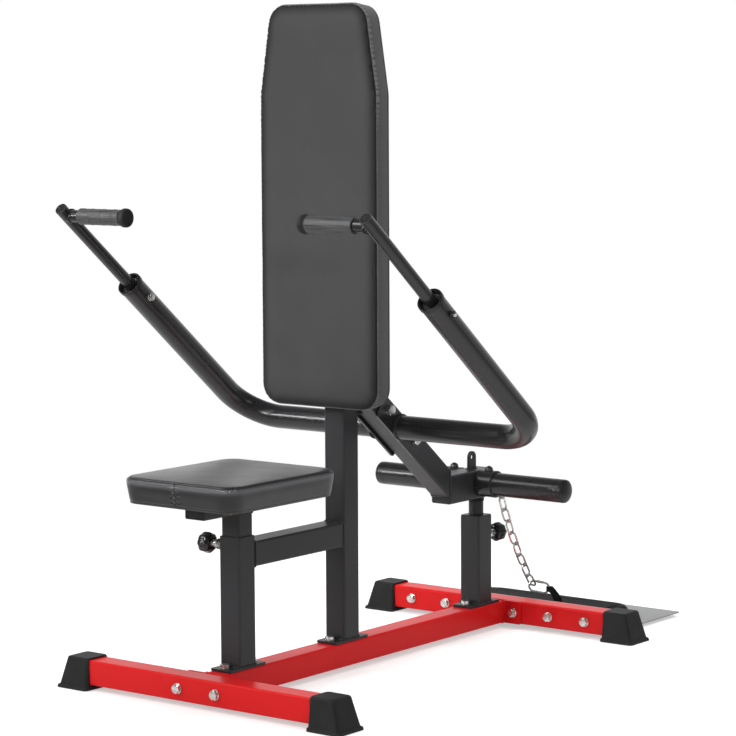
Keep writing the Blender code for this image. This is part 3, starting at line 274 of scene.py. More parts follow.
class Finish:
    """A node material whose patterns lie in object space."""

    def __init__(self, name, colour, **settings):
        self.material = bpy.data.materials.new(name)
        self.material.use_nodes = True
        self.tree = self.material.node_tree
        self.shader = self.tree.nodes["Principled BSDF"]
        for socket, value in settings.items():
            self.shader.inputs[socket.replace("_", " ")].default_value = value
        self.space = self.tree.nodes.new("ShaderNodeTexCoord").outputs["Object"]
        self.normal = None
        self.material.diffuse_color = (*colour, 1)

    def node(self, kind, **values):
        made = self.tree.nodes.new(kind)
        for key, value in values.items():
            setattr(made, key, value)
        return made

    def link(self, source, target):
        self.tree.links.new(source, target)

    def stretched(self, scale):
        mapping = self.node("ShaderNodeMapping")
        mapping.inputs["Scale"].default_value = scale
        self.link(self.space, mapping.inputs["Vector"])
        return mapping.outputs["Vector"]

    def noise(self, scale, detail=2.0, stretch=None):
        made = self.node("ShaderNodeTexNoise")
        made.inputs["Scale"].default_value = scale
        made.inputs["Detail"].default_value = detail
        self.link(self.stretched(stretch) if stretch else self.space, made.inputs["Vector"])
        return made.outputs["Fac"]

    def cells(self, scale, feature="F1"):
        made = self.node("ShaderNodeTexVoronoi", feature=feature)
        made.inputs["Scale"].default_value = scale
        self.link(self.space, made.inputs["Vector"])
        return made.outputs["Distance"]

    def ramp(self, source, low, high):
        """Maps a pattern from low..high to 0..1."""
        return mapped(self.tree, source, low, high)

    def spread(self, factor, low, high):
        """Maps a pattern from 0..1 to low..high."""
        return mapped(self.tree, factor, 0.0, 1.0, low, high)

    def blend(self, factor, first, second):
        """Mixes two colours, of which the first may be a socket."""
        made = self.node("ShaderNodeMix", data_type="RGBA")
        self.link(factor, made.inputs["Factor"])
        if isinstance(first, bpy.types.NodeSocket):
            self.link(first, made.inputs["A"])
        else:
            made.inputs["A"].default_value = (*first, 1)
        made.inputs["B"].default_value = (*second, 1)
        return made.outputs["Result"]

    def bump(self, height, strength, distance):
        made = self.node("ShaderNodeBump")
        made.inputs["Strength"].default_value = strength
        made.inputs["Distance"].default_value = distance
        self.link(height, made.inputs["Height"])
        if self.normal is not None:
            self.link(self.normal, made.inputs["Normal"])
        self.normal = made.outputs["Normal"]

    def edges(self, low=0.52, high=0.60):
        """Near 1 on outer edges."""
        geometry = self.node("ShaderNodeNewGeometry")
        return self.ramp(geometry.outputs["Pointiness"], low, high)

    def done(self, colour, roughness):
        """Joins the finished patterns to the shader."""
        for source, socket in ((colour, "Base Color"), (roughness, "Roughness"),
                               (self.normal, "Normal")):
            self.link(source, self.shader.inputs[socket])
        return self.material


def tone(colour, factor):
    """A colour made lighter or darker."""
    return tuple(min(1.0, c * factor) for c in colour)


def powder_coat(name, colour, roughness, peel=0.30, wear_and_highlight=None, level=0.5):
    """Baked powder coat: an orange-peel skin, uneven gloss, and lighter edges, partly rubbed wear
    and partly a painted highlight.
    """
    finish = Finish(name, colour, Specular_IOR_Level=level)
    cloud = finish.noise(9.0, 3.0)
    shade = finish.blend(cloud, tone(colour, 0.90), tone(colour, 1.10))
    grain = finish.noise(2600.0, 1.0)
    shade = finish.blend(finish.ramp(grain, 0.62, 0.80), shade, tone(colour, 1.35))
    # Outer edges lighter: partly rubbed wear, partly a painted highlight standing in for light
    # caught by the rounded edges.
    shade = finish.blend(finish.edges(), shade, wear_and_highlight or tone(colour, 1.8))
    finish.bump(finish.noise(620.0, 2.0), peel, 0.00010)
    finish.bump(finish.noise(2600.0, 1.0), peel * 0.5, 0.00003)
    return finish.done(shade, finish.spread(cloud, roughness - 0.06, roughness + 0.06))


def plated_steel(name, colour, roughness):
    """Zinc plate: fine turning marks, cloudy brightness and dull spots."""
    finish = Finish(name, colour, Metallic=1.0)
    cloud = finish.noise(160.0, 4.0)
    marks = finish.noise(900.0, 2.0, (0.15, 1.0, 1.0))
    shade = finish.blend(finish.ramp(cloud, 0.35, 0.75), tone(colour, 1.08), tone(colour, 0.72))
    finish.bump(marks, 0.25, 0.00004)
    finish.bump(cloud, 0.2, 0.00010)
    return finish.done(shade, finish.spread(finish.ramp(cloud, 0.3, 0.75),
                                            roughness - 0.08, roughness + 0.16))


def moulded(name, colour, roughness, grain=1500.0, depth=0.00006, level=0.5):
    """Moulded rubber or plastic with a spark-eroded skin and faint bloom."""
    finish = Finish(name, colour, Specular_IOR_Level=level)
    bloom = finish.noise(28.0, 4.0)
    shade = finish.blend(finish.ramp(bloom, 0.40, 0.75), colour, tone(colour, 1.55))
    shade = finish.blend(finish.edges(0.52, 0.62), shade, tone(colour, 2.2))
    finish.bump(finish.noise(grain, 2.0), 0.5, depth)
    finish.bump(finish.noise(55.0, 2.0), 0.15, 0.0004)
    return finish.done(shade, finish.spread(bloom, roughness - 0.07, roughness + 0.09))


def vinyl_cover(name, colour, roughness, level):
    """Upholstery vinyl: pebbled grain, pores, slow waves of the foam, and painted shade and
    painted highlights multiplied in from a mesh attribute.
    """
    finish = Finish(name, colour, Specular_IOR_Level=level, Sheen_Weight=0.05,
                    Sheen_Roughness=0.5)
    pebble = finish.cells(820.0, "SMOOTH_F1")
    creases = finish.cells(430.0, "DISTANCE_TO_EDGE")
    cloud = finish.noise(14.0, 4.0)
    shade = finish.blend(cloud, tone(colour, 0.86), tone(colour, 1.16))
    shade = finish.blend(finish.ramp(creases, 0.05, 0.0), shade, tone(colour, 0.72))
    # Painted shade and painted highlight: the cover's mesh attribute darkens the colour where it
    # is positive and lightens it where it is negative.
    painted_shading = finish.node("ShaderNodeAttribute", attribute_name="painted_shading").outputs["Fac"]
    painted_shading_mix = finish.node("ShaderNodeMix", data_type="RGBA", blend_type="MULTIPLY")
    painted_shading_mix.inputs["Factor"].default_value = 1.0
    finish.link(shade, painted_shading_mix.inputs["A"])
    finish.link(maths(finish.tree, "SUBTRACT", 1.0, painted_shading), painted_shading_mix.inputs["B"])
    shade = painted_shading_mix.outputs["Result"]
    finish.bump(finish.noise(26.0, 2.0), 0.22, 0.0011)
    finish.bump(pebble, 0.35, 0.00013)
    finish.bump(finish.ramp(creases, 0.0, 0.10), 0.22, 0.00009)
    return finish.done(shade, finish.spread(cloud, roughness - 0.05, roughness + 0.06))


def woven(name, colour, pitch=0.0016, roughness=0.85, depth=0.0004):
    """Webbing: yarns over and under each other in two directions."""
    finish = Finish(name, colour, Specular_IOR_Level=0.2, Sheen_Weight=0.06,
                    Sheen_Roughness=0.5)
    heights = []
    for direction in ("X", "Y"):
        wave = finish.node("ShaderNodeTexWave", wave_type="BANDS", bands_direction=direction)
        wave.inputs["Scale"].default_value = 0.314 / pitch
        wave.inputs["Distortion"].default_value = 0.6
        wave.inputs["Detail"].default_value = 1.0
        finish.link(finish.space, wave.inputs["Vector"])
        heights.append(wave.outputs["Fac"])
    cross = maths(finish.tree, "MULTIPLY", *heights)
    fuzz = finish.noise(1800.0, 2.0)
    shade = finish.blend(cross, tone(colour, 0.55), tone(colour, 1.5))
    finish.bump(cross, 0.8, depth)
    finish.bump(fuzz, 0.3, 0.0001)
    return finish.done(shade, finish.spread(fuzz, roughness - 0.1, min(1.0, roughness + 0.1)))


def grip_foam(name):
    """Drawn rubber: fine streaks along the grip, a matt bloom and small pores."""
    colour = (0.047, 0.047, 0.0485)
    finish = Finish(name, colour, Specular_IOR_Level=0.5)
    streaks = finish.noise(420.0, 2.0, (0.03, 1.0, 1.0))
    pores = finish.noise(1900.0, 2.0)
    shade = finish.blend(finish.ramp(streaks, 0.30, 0.72), tone(colour, 0.45), tone(colour, 1.7))
    shade = finish.blend(finish.ramp(pores, 0.60, 0.85), shade, tone(colour, 0.5))
    finish.bump(streaks, 0.45, 0.00025)
    finish.bump(pores, 0.3, 0.00006)
    return finish.done(shade, finish.spread(streaks, 0.36, 0.56))


def plywood_face(name):
    """Birch ply: long grain, growth rings and knots."""
    colour = (0.42, 0.28, 0.15)
    finish = Finish(name, colour)
    grain = finish.noise(60.0, 4.0, (9.0, 9.0, 0.5))
    rings = finish.node("ShaderNodeTexWave", wave_type="RINGS", rings_direction="Z")
    rings.inputs["Scale"].default_value = 3.2
    rings.inputs["Distortion"].default_value = 7.0
    rings.inputs["Detail"].default_value = 2.0
    finish.link(finish.stretched((6.0, 1.0, 0.6)), rings.inputs["Vector"])
    shade = finish.blend(rings.outputs["Fac"], tone(colour, 0.70), tone(colour, 1.15))
    shade = finish.blend(finish.ramp(grain, 0.45, 0.9), shade, tone(colour, 0.45))
    finish.bump(grain, 0.5, 0.0002)
    return finish.done(shade, finish.spread(grain, 0.6, 0.85))


# The lighter edge colours of these coats are partly wear and partly a painted highlight.
RED = powder_coat("red_coat_skin", (0.600, 0.0064, 0.0092), 0.30, 0.22,
                  wear_and_highlight=(0.740, 0.0170, 0.0180), level=0.13)
BLACK = powder_coat("black_coat_skin", (0.0190, 0.0190, 0.0205), 0.36, level=0.28)
GLOSS_BLACK = powder_coat("black_gloss_skin", (0.0115, 0.0115, 0.0125), 0.26, 0.16, level=0.50)
SHEET_GREY = powder_coat("grey_sheet_skin", (0.240, 0.242, 0.245), 0.42, 0.25,
                         wear_and_highlight=(0.290, 0.292, 0.295))
ZINC = plated_steel("zinc_plate", (0.74, 0.73, 0.71), 0.26)
DARK_STEEL = plated_steel("dark_steel", (0.16, 0.16, 0.17), 0.34)
BRONZE = plated_steel("bronze_bush", (0.56, 0.37, 0.17), 0.34)
RUBBER = moulded("black_rubber_skin", (0.0135, 0.0135, 0.0140), 0.50, 1300.0, 0.00009, 0.22)
GRIP_RUBBER = grip_foam("grip_rubber_skin")
PLASTIC = moulded("black_plastic_skin", (0.0095, 0.0095, 0.0100), 0.33, 1900.0, 0.00004, 0.4)
KNOB_PLASTIC = moulded("knob_plastic_skin", (0.0080, 0.0080, 0.0085), 0.15, 2400.0, 0.00002)
VINYL = vinyl_cover("black_vinyl_cover", (0.0465, 0.0465, 0.0475), 0.52, 0.16)
# The piping is coloured far lighter than the cover as a painted highlight along the back pad's
# seam.
PIPING_PAINTED_HIGHLIGHT = vinyl_cover("vinyl_piping_painted_highlight", (0.150, 0.150, 0.152), 0.34, 0.5)
SEAT_VINYL = vinyl_cover("seat_vinyl_cover", (0.0160, 0.0160, 0.0170), 0.29, 0.60)
THREAD = woven("stitch_thread", (0.030, 0.030, 0.032), 0.0005, 0.65, 0.0001)
WEBBING = woven("black_webbing_weave", (0.016, 0.016, 0.017))
FELT = woven("belt_lining", (0.012, 0.012, 0.013), 0.0009, 0.95, 0.0002)
PLYWOOD = plywood_face("plywood_face")


# Shapes

def axes_for(direction):
    """Two unit vectors square to a direction."""
    along = Vector(direction).normalized()
    helper = Z if abs(along.z) < 0.9 else Y
    first = helper.cross(along).normalized()
    return first, along.cross(first)


def spoke(first, second, angle):
    """A unit vector at an angle from the first of two square ones towards the second."""
    return first * math.cos(angle) + second * math.sin(angle)


def arc(x, y, radius, start, stop, steps, first=0):
    """Points round a centre from one angle to another, in degrees."""
    angles = [math.radians(start + (stop - start) * k / steps) for k in range(first, steps + 1)]
    return [(x + radius * math.cos(a), y + radius * math.sin(a)) for a in angles]


def turned(vector, angle):
    """A flat vector turned about the origin."""
    c, s = math.cos(angle), math.sin(angle)
    return Vector((vector.x * c - vector.y * s, vector.x * s + vector.y * c))


def modified(obj):
    """Fixes the modifiers of an object into its mesh."""
    bpy.context.view_layer.update()
    done = obj.evaluated_get(bpy.context.evaluated_depsgraph_get())
    mesh = bpy.data.meshes.new_from_object(done)
    obj.modifiers.clear()
    obj.data = mesh
    return mesh


def resample(points, step, loop=False):
    """Points at an even spacing along a path."""
    path = [Vector(p) for p in points]
    if loop:
        path.append(path[0].copy())
    lengths = [0.0]
    for a, b in zip(path, path[1:]):
        lengths.append(lengths[-1] + (b - a).length)
    total = lengths[-1]
    count = max(2, round(total / step))
    result = []
    spot = 0
    for k in range(count if loop else count + 1):
        goal = total * k / count
        while spot < len(path) - 2 and lengths[spot + 1] < goal:
            spot += 1
        span = lengths[spot + 1] - lengths[spot]
        share = (goal - lengths[spot]) / span if span > 0 else 0.0
        result.append(path[spot].lerp(path[spot + 1], share))
    return result


class Shape:
    """Closed surfaces gathered into one mesh, each facing outwards."""

    def __init__(self):
        self.points = []
        self.faces = []

    def shell(self, points, faces):
        """Adds a closed surface, turned to face outwards."""
        base = points[0]
        volume = 0.0
        for face in faces:
            a = points[face[0]] - base
            for i in range(1, len(face) - 1):
                volume += a.dot((points[face[i]] - base).cross(points[face[i + 1]] - base))
        if volume < 0:
            faces = [tuple(reversed(face)) for face in faces]
        start = len(self.points)
        self.points += points
        self.faces += [tuple(start + i for i in face) for face in faces]
        return self

    def loft(self, rings, loop=False):
        """A skin through rings of equally many points, capped or closed on itself."""
        count = len(rings[0])
        total = len(rings)
        points = [Vector(p) for ring in rings for p in ring]
        faces = []
        for a in range(total if loop else total - 1):
            b = (a + 1) % total
            for i in range(count):
                j = (i + 1) % count
                faces.append((a * count + i, a * count + j, b * count + j, b * count + i))
        if not loop:
            faces.append(tuple(reversed(range(count))))
            faces.append(tuple(range((total - 1) * count, total * count)))
        return self.shell(points, faces)

    def lathe(self, origin, axis, profile, sides=48, loop=False, wave=None):
        """A turned solid from (distance along the axis, radius) pairs."""
        along = Vector(axis).normalized()
        first, second = axes_for(along)
        rings = []
        for distance, radius in profile:
            ring = []
            for k in range(sides):
                angle = 2 * math.pi * k / sides
                reach = max(radius, 0.00005) * (wave(angle) if wave else 1.0)
                ring.append(Vector(origin) + along * distance
                            + spoke(first, second, angle) * reach)
            rings.append(ring)
        return self.loft(rings, loop)

    def sweep(self, path, radius, sides, loop=False):
        """A round bar along a path; radius may be a list."""
        points = [Vector(p) for p in path]
        count = len(points)
        frames = []
        normal = None
        for i, point in enumerate(points):
            before = points[i - 1] if loop or i else point
            after = points[(i + 1) % count] if loop or i < count - 1 else point
            tangent = (after - before).normalized()
            if normal is None:
                normal = axes_for(tangent)[0]
            normal = (normal - tangent * normal.dot(tangent)).normalized()
            frames.append((normal.copy(), tangent.cross(normal)))
        rings = []
        for i, (point, (first, second)) in enumerate(zip(points, frames)):
            size = radius[i] if isinstance(radius, (list, tuple)) else radius
            rings.append([point + spoke(first, second, 2 * math.pi * k / sides) * size
                          for k in range(sides)])
        return self.loft(rings, loop)

    def box(self, centre, size, edge=0.0008):
        """A block with softened edges."""
        bm = bmesh.new()
        bmesh.ops.create_cube(bm, size=1.0)
        bmesh.ops.scale(bm, vec=size, verts=bm.verts)
        bmesh.ops.bevel(bm, geom=bm.edges[:], offset=edge, segments=2, profile=0.5,
                        affect="EDGES")
        bm.transform(Matrix.Translation(centre))
        bm.verts.index_update()
        points = [v.co.copy() for v in bm.verts]
        faces = [tuple(v.index for v in f.verts) for f in bm.faces]
        bm.free()
        return self.shell(points, faces)

    def slab(self, outline, thickness, place, edge=0.0006):
        """A plate of the given outline; place(u, v, h) gives its points."""
        rings = []
        centre = sum((Vector(p) for p in outline), Vector((0, 0))) / len(outline)
        for height, inset in ((0.0, edge), (edge, 0.0), (thickness - edge, 0.0),
                              (thickness, edge)):
            ring = []
            for u, v in outline:
                away = Vector((u, v)) - centre
                shrunk = centre + away * (1 - inset / max(away.length, 1e-6))
                ring.append(place(shrunk.x, shrunk.y, height))
            rings.append(ring)
        return self.loft(rings)

    def bead(self, path, radius=0.0026, loop=True):
        """A rippled weld bead along a path."""
        points = resample(path, 0.0011, loop)
        sizes = []
        for i, point in enumerate(points):
            ripple = 0.16 * math.sin(i * 2.2) + 0.22 * noise.noise(point * 160.0)
            sizes.append(radius * (0.95 + ripple))
        return self.sweep(points, sizes, 8, loop)

    def less(self, shape, cutter):
        """Adds what is left of a shape when another is cut out of it."""
        blank = shape.object("blank")
        tool = cutter.object("cutter")
        step = blank.modifiers.new("cut", "BOOLEAN")
        step.operation = "DIFFERENCE"
        step.solver = "EXACT"
        step.object = tool
        mesh = modified(blank)
        start = len(self.points)
        self.points += [v.co.copy() for v in mesh.vertices]
        self.faces += [tuple(start + i for i in p.vertices) for p in mesh.polygons]
        for obj in (blank, tool):
            bpy.data.objects.remove(obj, do_unlink=True)
        bpy.data.meshes.remove(mesh)
        return self

    def drilled(self, shape, holes):
        """Adds a shape with round holes (centre, axis, radius, depth) through it."""
        drills = Shape()
        for centre, axis, radius, depth in holes:
            drills.lathe(centre - axis * depth / 2, axis, ((0.0, radius), (depth, radius)), 32)
        return self.less(shape, drills)

    def object(self, name):
        mesh = bpy.data.meshes.new(name)
        mesh.from_pydata(self.points, [], self.faces)
        obj = bpy.data.objects.new(name, mesh)
        bpy.context.scene.collection.objects.link(obj)
        return obj

    def piece(self, name, material, body, slot, nodes, weighted=True):
        """Makes the shape a piece of the object."""
        obj = self.object(name)
        dress(obj, material, body, nodes, weighted=weighted)
        return obj


def dress(obj, material, body, nodes, sharp=38, weighted=True):
    """Gives an object its material, and says what it rides on and which nodes it replaces."""
    obj.data.materials.clear()
    obj.data.materials.append(material)
    obj.data.shade_smooth()
    obj.data.set_sharp_from_angle(angle=math.radians(sharp))
    if weighted:
        even = obj.modifiers.new("even_normals", "WEIGHTED_NORMAL")
        even.keep_sharp = True
    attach(obj, body)
    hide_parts(*nodes)


def square_ring(centre, first, second, half_a, half_b, radius, steps=6):
    """A rounded rectangle, counter-clockwise about first x second."""
    ring = []
    for quarter, (sa, sb) in enumerate(((1, 1), (-1, 1), (-1, -1), (1, -1))):
        for k in range(steps + 1):
            angle = math.radians(90 * quarter + 90 * k / steps)
            a = sa * (half_a - radius) + radius * math.cos(angle)
            b = sb * (half_b - radius) + radius * math.sin(angle)
            ring.append(centre + first * a + second * b)
    return ring


def box_tube(shape, start, end, first, half_a=HALF, half_b=HALF, radius=CORNER_R):
    """A hollow rectangular tube from start to end, with broken edges at its mouths."""
    along = (end - start).normalized()
    second = along.cross(first)
    edge = 0.0005
    inner = max(radius - WALL, 0.0012)
    rings = [square_ring(spot, first, second, half_a - cut, half_b - cut, corner)
             for spot, cut, corner in ((start, edge, radius), (start + along * edge, 0.0, radius),
                                       (end - along * edge, 0.0, radius), (end, edge, radius),
                                       (end, WALL, inner), (start, WALL, inner))]
    return shape.loft(rings, loop=True)


def solid_bar(shape, start, end, first, half_a, half_b, radius, edge=0.0006):
    """A solid rounded bar from start to end."""
    along = (end - start).normalized()
    second = along.cross(first)
    return shape.loft([square_ring(spot, first, second, half_a - cut, half_b - cut, radius)
                       for spot, cut in ((start, edge), (start + along * edge, 0.0),
                                         (end - along * edge, 0.0), (end, edge))])


def rounded_rectangle(width, height, radius):
    """An outline about the origin."""
    ring = square_ring(Vector((0, 0, 0)), X, Y, width / 2, height / 2, radius, 5)
    return [(p.x, p.y) for p in ring]


def ring_round(centre, axis, radius):
    """A circle about an axis."""
    first, second = axes_for(axis)
    return [centre + spoke(first, second, 2 * math.pi * k / 48) * radius for k in range(48)]


# Fasteners

M8, M10, M12, M16 = 0.004, 0.005, 0.006, 0.008


def hex_block(shape, origin, axis, flats, height, phase, both=False, dome=0.0):
    """A hex head or nut whose corners are turned off at one end or both."""
    along = Vector(axis).normalized()
    first, second = axes_for(along)
    count = 48
    turned_to = flats * 0.95

    def ring(distance_of, radius_of):
        made = []
        for k in range(count):
            angle = 2 * math.pi * k / count
            reach = flats / math.cos((angle + phase) % (math.pi / 3) - math.pi / 6)
            made.append(Vector(origin) + along * distance_of(reach)
                        + spoke(first, second, angle) * radius_of(reach))
        return made

    slope = math.tan(math.radians(30))
    rings = []
    if both:
        rings.append(ring(lambda r: 0.0, lambda r: turned_to))
        rings.append(ring(lambda r: (r - turned_to) * slope, lambda r: r))
    else:
        rings.append(ring(lambda r: 0.0, lambda r: r))
    rings.append(ring(lambda r: height - (r - turned_to) * slope, lambda r: r))
    rings.append(ring(lambda r: height, lambda r: turned_to))
    for share, rise in ((0.8, 0.45), (0.5, 0.85), (0.2, 1.0)) if dome else ():
        rings.append(ring(lambda r: height + dome * rise, lambda r: flats * share))
    shape.loft(rings)


def bolt(name, seat, axis, radius, grip, body, nut=True, tip=0.004, phase=0.0, broad=2.1,
         nut_material=None):
    """A hex bolt with its washer, chamfered head, thread and nut; broad sizes the washer."""
    seat = seat - axis * GAP
    washer = 0.0015
    flats = radius * 1.69
    head = radius * 1.3
    shape = Shape()
    shape.lathe(seat - axis * washer, axis,
                ((0.0, radius * 0.9), (0.0, radius * (broad - 0.08)), (0.0003, radius * broad),
                 (washer - 0.0002, radius * broad), (washer, radius * (broad - 0.05)),
                 (washer, radius * 0.9)))
    hex_block(shape, seat - axis * washer, -axis, flats, head, phase, dome=0.0006)
    nut_length = radius * 1.6
    end = grip + (nut_length + 2 * GAP if nut else 0) + tip
    thread = [(-washer, radius * 0.8), (-washer, radius), (grip * 0.5, radius)]
    distance = grip * 0.5 + 0.0006
    pitch = 0.0013
    while distance < end - 0.0012:
        thread.append((distance, radius * 0.995))
        thread.append((distance + pitch * 0.5, radius * 0.88))
        distance += pitch
    thread += [(end - 0.0010, radius * 0.9), (end, radius * 0.72)]
    shape.lathe(seat, axis, thread, 32)
    if nut:
        nut_shape = Shape() if nut_material else shape
        hex_block(nut_shape, seat + axis * (grip + 2 * GAP), axis, flats, nut_length,
                  phase + 0.35, both=True)
        if nut_material:
            nut_shape.piece(name + "_nut", nut_material, body, "zinc", (name,))
    shape.piece(name + "_detail", ZINC, body, "zinc", (name,))


# Base

def base_beams():
    """Two crossbeams, and the main beam with its end flanges and their welds."""
    half = CROSSBEAM_LENGTH / 2
    for name, front_y in (("front_crossbeam", 0.0), ("rear_crossbeam", REAR_BEAM_Y)):
        shape = Shape()
        box_tube(shape, at(-half, front_y + HALF, BEAM_MIDDLE),
                 at(half, front_y + HALF, BEAM_MIDDLE), Y)
        shape.piece(name + "_tube", RED, "frame", "red_coat", (name,))
    start = TUBE + GAP + PLATE
    end = REAR_BEAM_Y - GAP - PLATE
    shape = Shape()
    box_tube(shape, at(0, start, BEAM_MIDDLE), at(0, end, BEAM_MIDDLE), X)
    flange = rounded_rectangle(FLANGE_WIDTH, TUBE, PLATE_CORNER_R)
    for y, face, way in ((start - PLATE, start, 1), (end, end, -1)):
        shape.slab(flange, PLATE, lambda u, v, h: at(u, y + h, BEAM_MIDDLE + v))
        shape.bead(square_ring(at(0, face + way * 0.0008, BEAM_MIDDLE), X, Z, HALF + 0.0004,
                               HALF - 0.0006, CORNER_R), 0.0026)
    shape.piece("main_beam_tube", RED, "frame", "red_coat", ("main_beam",))


def end_cap(name, side, front_y):
    """A moulded rubber boot with a flared foot, a soft top edge and a lip."""
    tube_end = CROSSBEAM_LENGTH / 2
    inner = tube_end - 0.050
    top = BEAM_TOP + 0.004
    soft = 0.0035
    levels = [(0.0, 0.0022), (0.0008, 0.0030), (0.0050, 0.0030), (0.0060, 0.0024),
              (0.0068, 0.0006), (0.0080, 0.0)]
    levels += [(0.008 + (top - 0.008 - soft) * k / 6, 0.0) for k in range(1, 7)]
    levels += [(z, lip) for lip, z in arc(-soft, top - soft, soft, 0, 90, 5, 1)]
    rings = []
    for z, lip in levels:
        flare = 1.0 - z / top
        out = 0.004 + 0.008 * flare + lip
        near = inner - 0.002 * flare - max(lip, 0.0) * 0.5
        far = tube_end + 0.005 + 0.020 * flare + lip
        centre = at(side * (near + far) / 2, front_y + HALF, z)
        rings.append(square_ring(centre, X, Y, (far - near) / 2, HALF + out,
                                 0.0060 + 0.002 * flare))
    shape = Shape().loft(rings)
    mouth = square_ring(at(side * (inner + 0.0004), front_y + HALF, BEAM_MIDDLE), Y, Z,
                        HALF + 0.0021, HALF + 0.0021, 0.0055)
    shape.sweep(mouth, 0.0012, 8, loop=True)
    shape.piece(name + "_boot", RUBBER, "frame", "rubber", (name,))


def platform():
    """A folded sheet: a standing flange on the beam, a tread and its ribs."""
    front = REAR_BEAM_Y + TUBE + GAP
    rear = 1.333
    top = 0.010
    under = top - SHEET
    upstand = under + 0.052
    bend = 0.0035
    inside = 0.0006
    profile = [(front, upstand), (front, under + bend)]
    profile += arc(front + bend, under + bend, bend, 180, 270, 6, 1)
    profile += [(rear, under), (rear, top)]
    profile += arc(front + SHEET + inside, top + inside, inside, 270, 180, 6)
    profile += [(front + SHEET, upstand)]
    shape = Shape()
    shape.loft([[at(x, y - (cut if y > rear - 0.001 else 0),
                    z - (cut if z > upstand - 0.001 else 0)) for y, z in profile]
                for x, cut in ((-0.270, 0.0004), (-0.2696, 0.0), (0.2696, 0.0), (0.270, 0.0004))])
    for x in (-0.235, 0.0, 0.235):
        shape.box(at(x, (front + rear) / 2, 0.0036), (0.020, rear - front - 0.040, 0.0072))
    shape.piece("foot_platform_sheet", SHEET_GREY, "frame", "grey_coat", ("foot_platform",))


def base_bolts():
    """Every bolt that goes through the base."""
    thick = TUBE + GAP + SHEET
    for k, (word, x) in enumerate((("left", -FLANGE_BOLT_X), ("right", FLANGE_BOLT_X))):
        bolt(f"front_flange_bolt_{word}", at(x, 0, BEAM_MIDDLE), Y, M10, TUBE + GAP + PLATE,
             "frame", phase=0.3 + 0.5 * k)
        bolt(f"rear_flange_bolt_{word}", at(x, REAR_BEAM_Y - GAP - PLATE, BEAM_MIDDLE), Y, M10,
             thick + GAP + PLATE, "frame", phase=0.1 + 0.4 * k)
    for number, x in enumerate((-0.231, -0.137, 0.137, 0.231), 1):
        bolt(f"platform_bolt_{number}", at(x, REAR_BEAM_Y, BEAM_MIDDLE), Y, M10, thick, "frame",
             phase=0.23 * number)
    for word, front_y in POSTS:
        for k, (row, y) in enumerate((("front", front_y - 0.015), ("rear", front_y + 0.065))):
            bolt(f"{word}_foot_bolt_{row}", at(0, y, FOOT_TOP), -Z, M10, PLATE + GAP + WALL,
                 "frame", nut=False, tip=0.012, phase=0.2 + 0.37 * k)


# Uprights

def foot_plate(shape, front_y):
    """The plate under a post, and the weld round the post's foot."""
    shape.slab(rounded_rectangle(TUBE, FOOT_LENGTH, PLATE_CORNER_R), PLATE,
               lambda u, v, h: at(u, front_y + HALF + v, BEAM_TOP + GAP + h))
    shape.bead(square_ring(at(0, front_y + HALF, FOOT_TOP + 0.0006), X, Y, HALF - 0.0004,
                           HALF + 0.0008, CORNER_R), 0.0028)


def seat_sleeve():
    """The front post, with a hole for the seat's pull pin."""
    y = SLEEVE_Y + HALF
    tube = Shape()
    box_tube(tube, at(0, y, FOOT_TOP), at(0, y, SEAT_SLEEVE_TOP), X)
    holed = Shape().drilled(tube, [(at(-HALF, y, SEAT_PIN_Z), X, PIN_HOLE_R, 0.012)])
    foot_plate(holed, SLEEVE_Y)
    holed.piece("seat_sleeve_tube", BLACK, "frame", "black_coat", ("seat_sleeve",))


def brace_tube():
    """The level tube between the front post and the back upright."""
    front = SLEEVE_Y + TUBE + GAP
    back = UPRIGHT_Y - GAP
    middle = BRACE_TOP - HALF
    shape = Shape()
    box_tube(shape, at(0, front, middle), at(0, back, middle), X)
    for y, way in ((front, 1), (back, -1)):
        shape.bead(square_ring(at(0, y + way * 0.0008, middle), X, Z, HALF - 0.0006,
                               HALF + 0.0002, CORNER_R), 0.0026)
    shape.piece("brace_tube_skin", BLACK, "frame", "black_coat", ("brace_tube",))


def back_upright():
    """The tall post, closed at its top, with the bracket of the pivot."""
    y = UPRIGHT_Y + HALF
    shape = Shape()
    box_tube(shape, at(0, y, FOOT_TOP), at(0, y, UPRIGHT_TOP - 0.0015), X)
    solid_bar(shape, at(0, y, UPRIGHT_TOP - 0.0035), at(0, y, UPRIGHT_TOP), X, HALF - 0.0004,
              HALF - 0.0004, CORNER_R)
    foot_plate(shape, UPRIGHT_Y)
    back = UPRIGHT_Y + TUBE
    shape.box(at(0, back + PLATE / 2, PIVOT_Z), (0.0656, PLATE, 0.080))
    shape.bead(square_ring(at(0, back + 0.0006, PIVOT_Z), X, Z, HALF, 0.0400, 0.003), 0.0024)
    lug_r = 0.030
    outline = arc(PIVOT_Y, PIVOT_Z, lug_r, 90, -90, 24)
    outline += [(back + 0.002, PIVOT_Z - lug_r), (back + 0.002, PIVOT_Z + lug_r)]
    for side in (-1, 1):
        x = side * 0.0298 - LUG / 2
        shape.slab(outline, LUG, lambda u, v, h: at(x + h, u, v))
        shape.bead([at(side * 0.0335, back + PLATE + 0.0004, PIVOT_Z + way * 0.032)
                    for way in (1, -1)], 0.0022, loop=False)
    shape.piece("back_upright_tube", BLACK, "frame", "black_coat", ("back_upright",))


def rear_post():
    """The short post, with a round hole in its lid for the rest."""
    y = REST_SOCKET_Y + HALF
    shape = Shape()
    box_tube(shape, at(0, y, FOOT_TOP), at(0, y, 0.2545), X)
    lid = Shape()
    solid_bar(lid, at(0, y, 0.2530), at(0, y, 0.258), X, HALF - 0.0003, HALF - 0.0003, CORNER_R,
              0.0010)
    shape.drilled(lid, [(at(0, y, 0.2555), Z, 0.0163, 0.02)])
    foot_plate(shape, REST_SOCKET_Y)
    shape.piece("rear_post_tube", BLACK, "frame", "black_coat", ("rear_post",))


# Pull pins

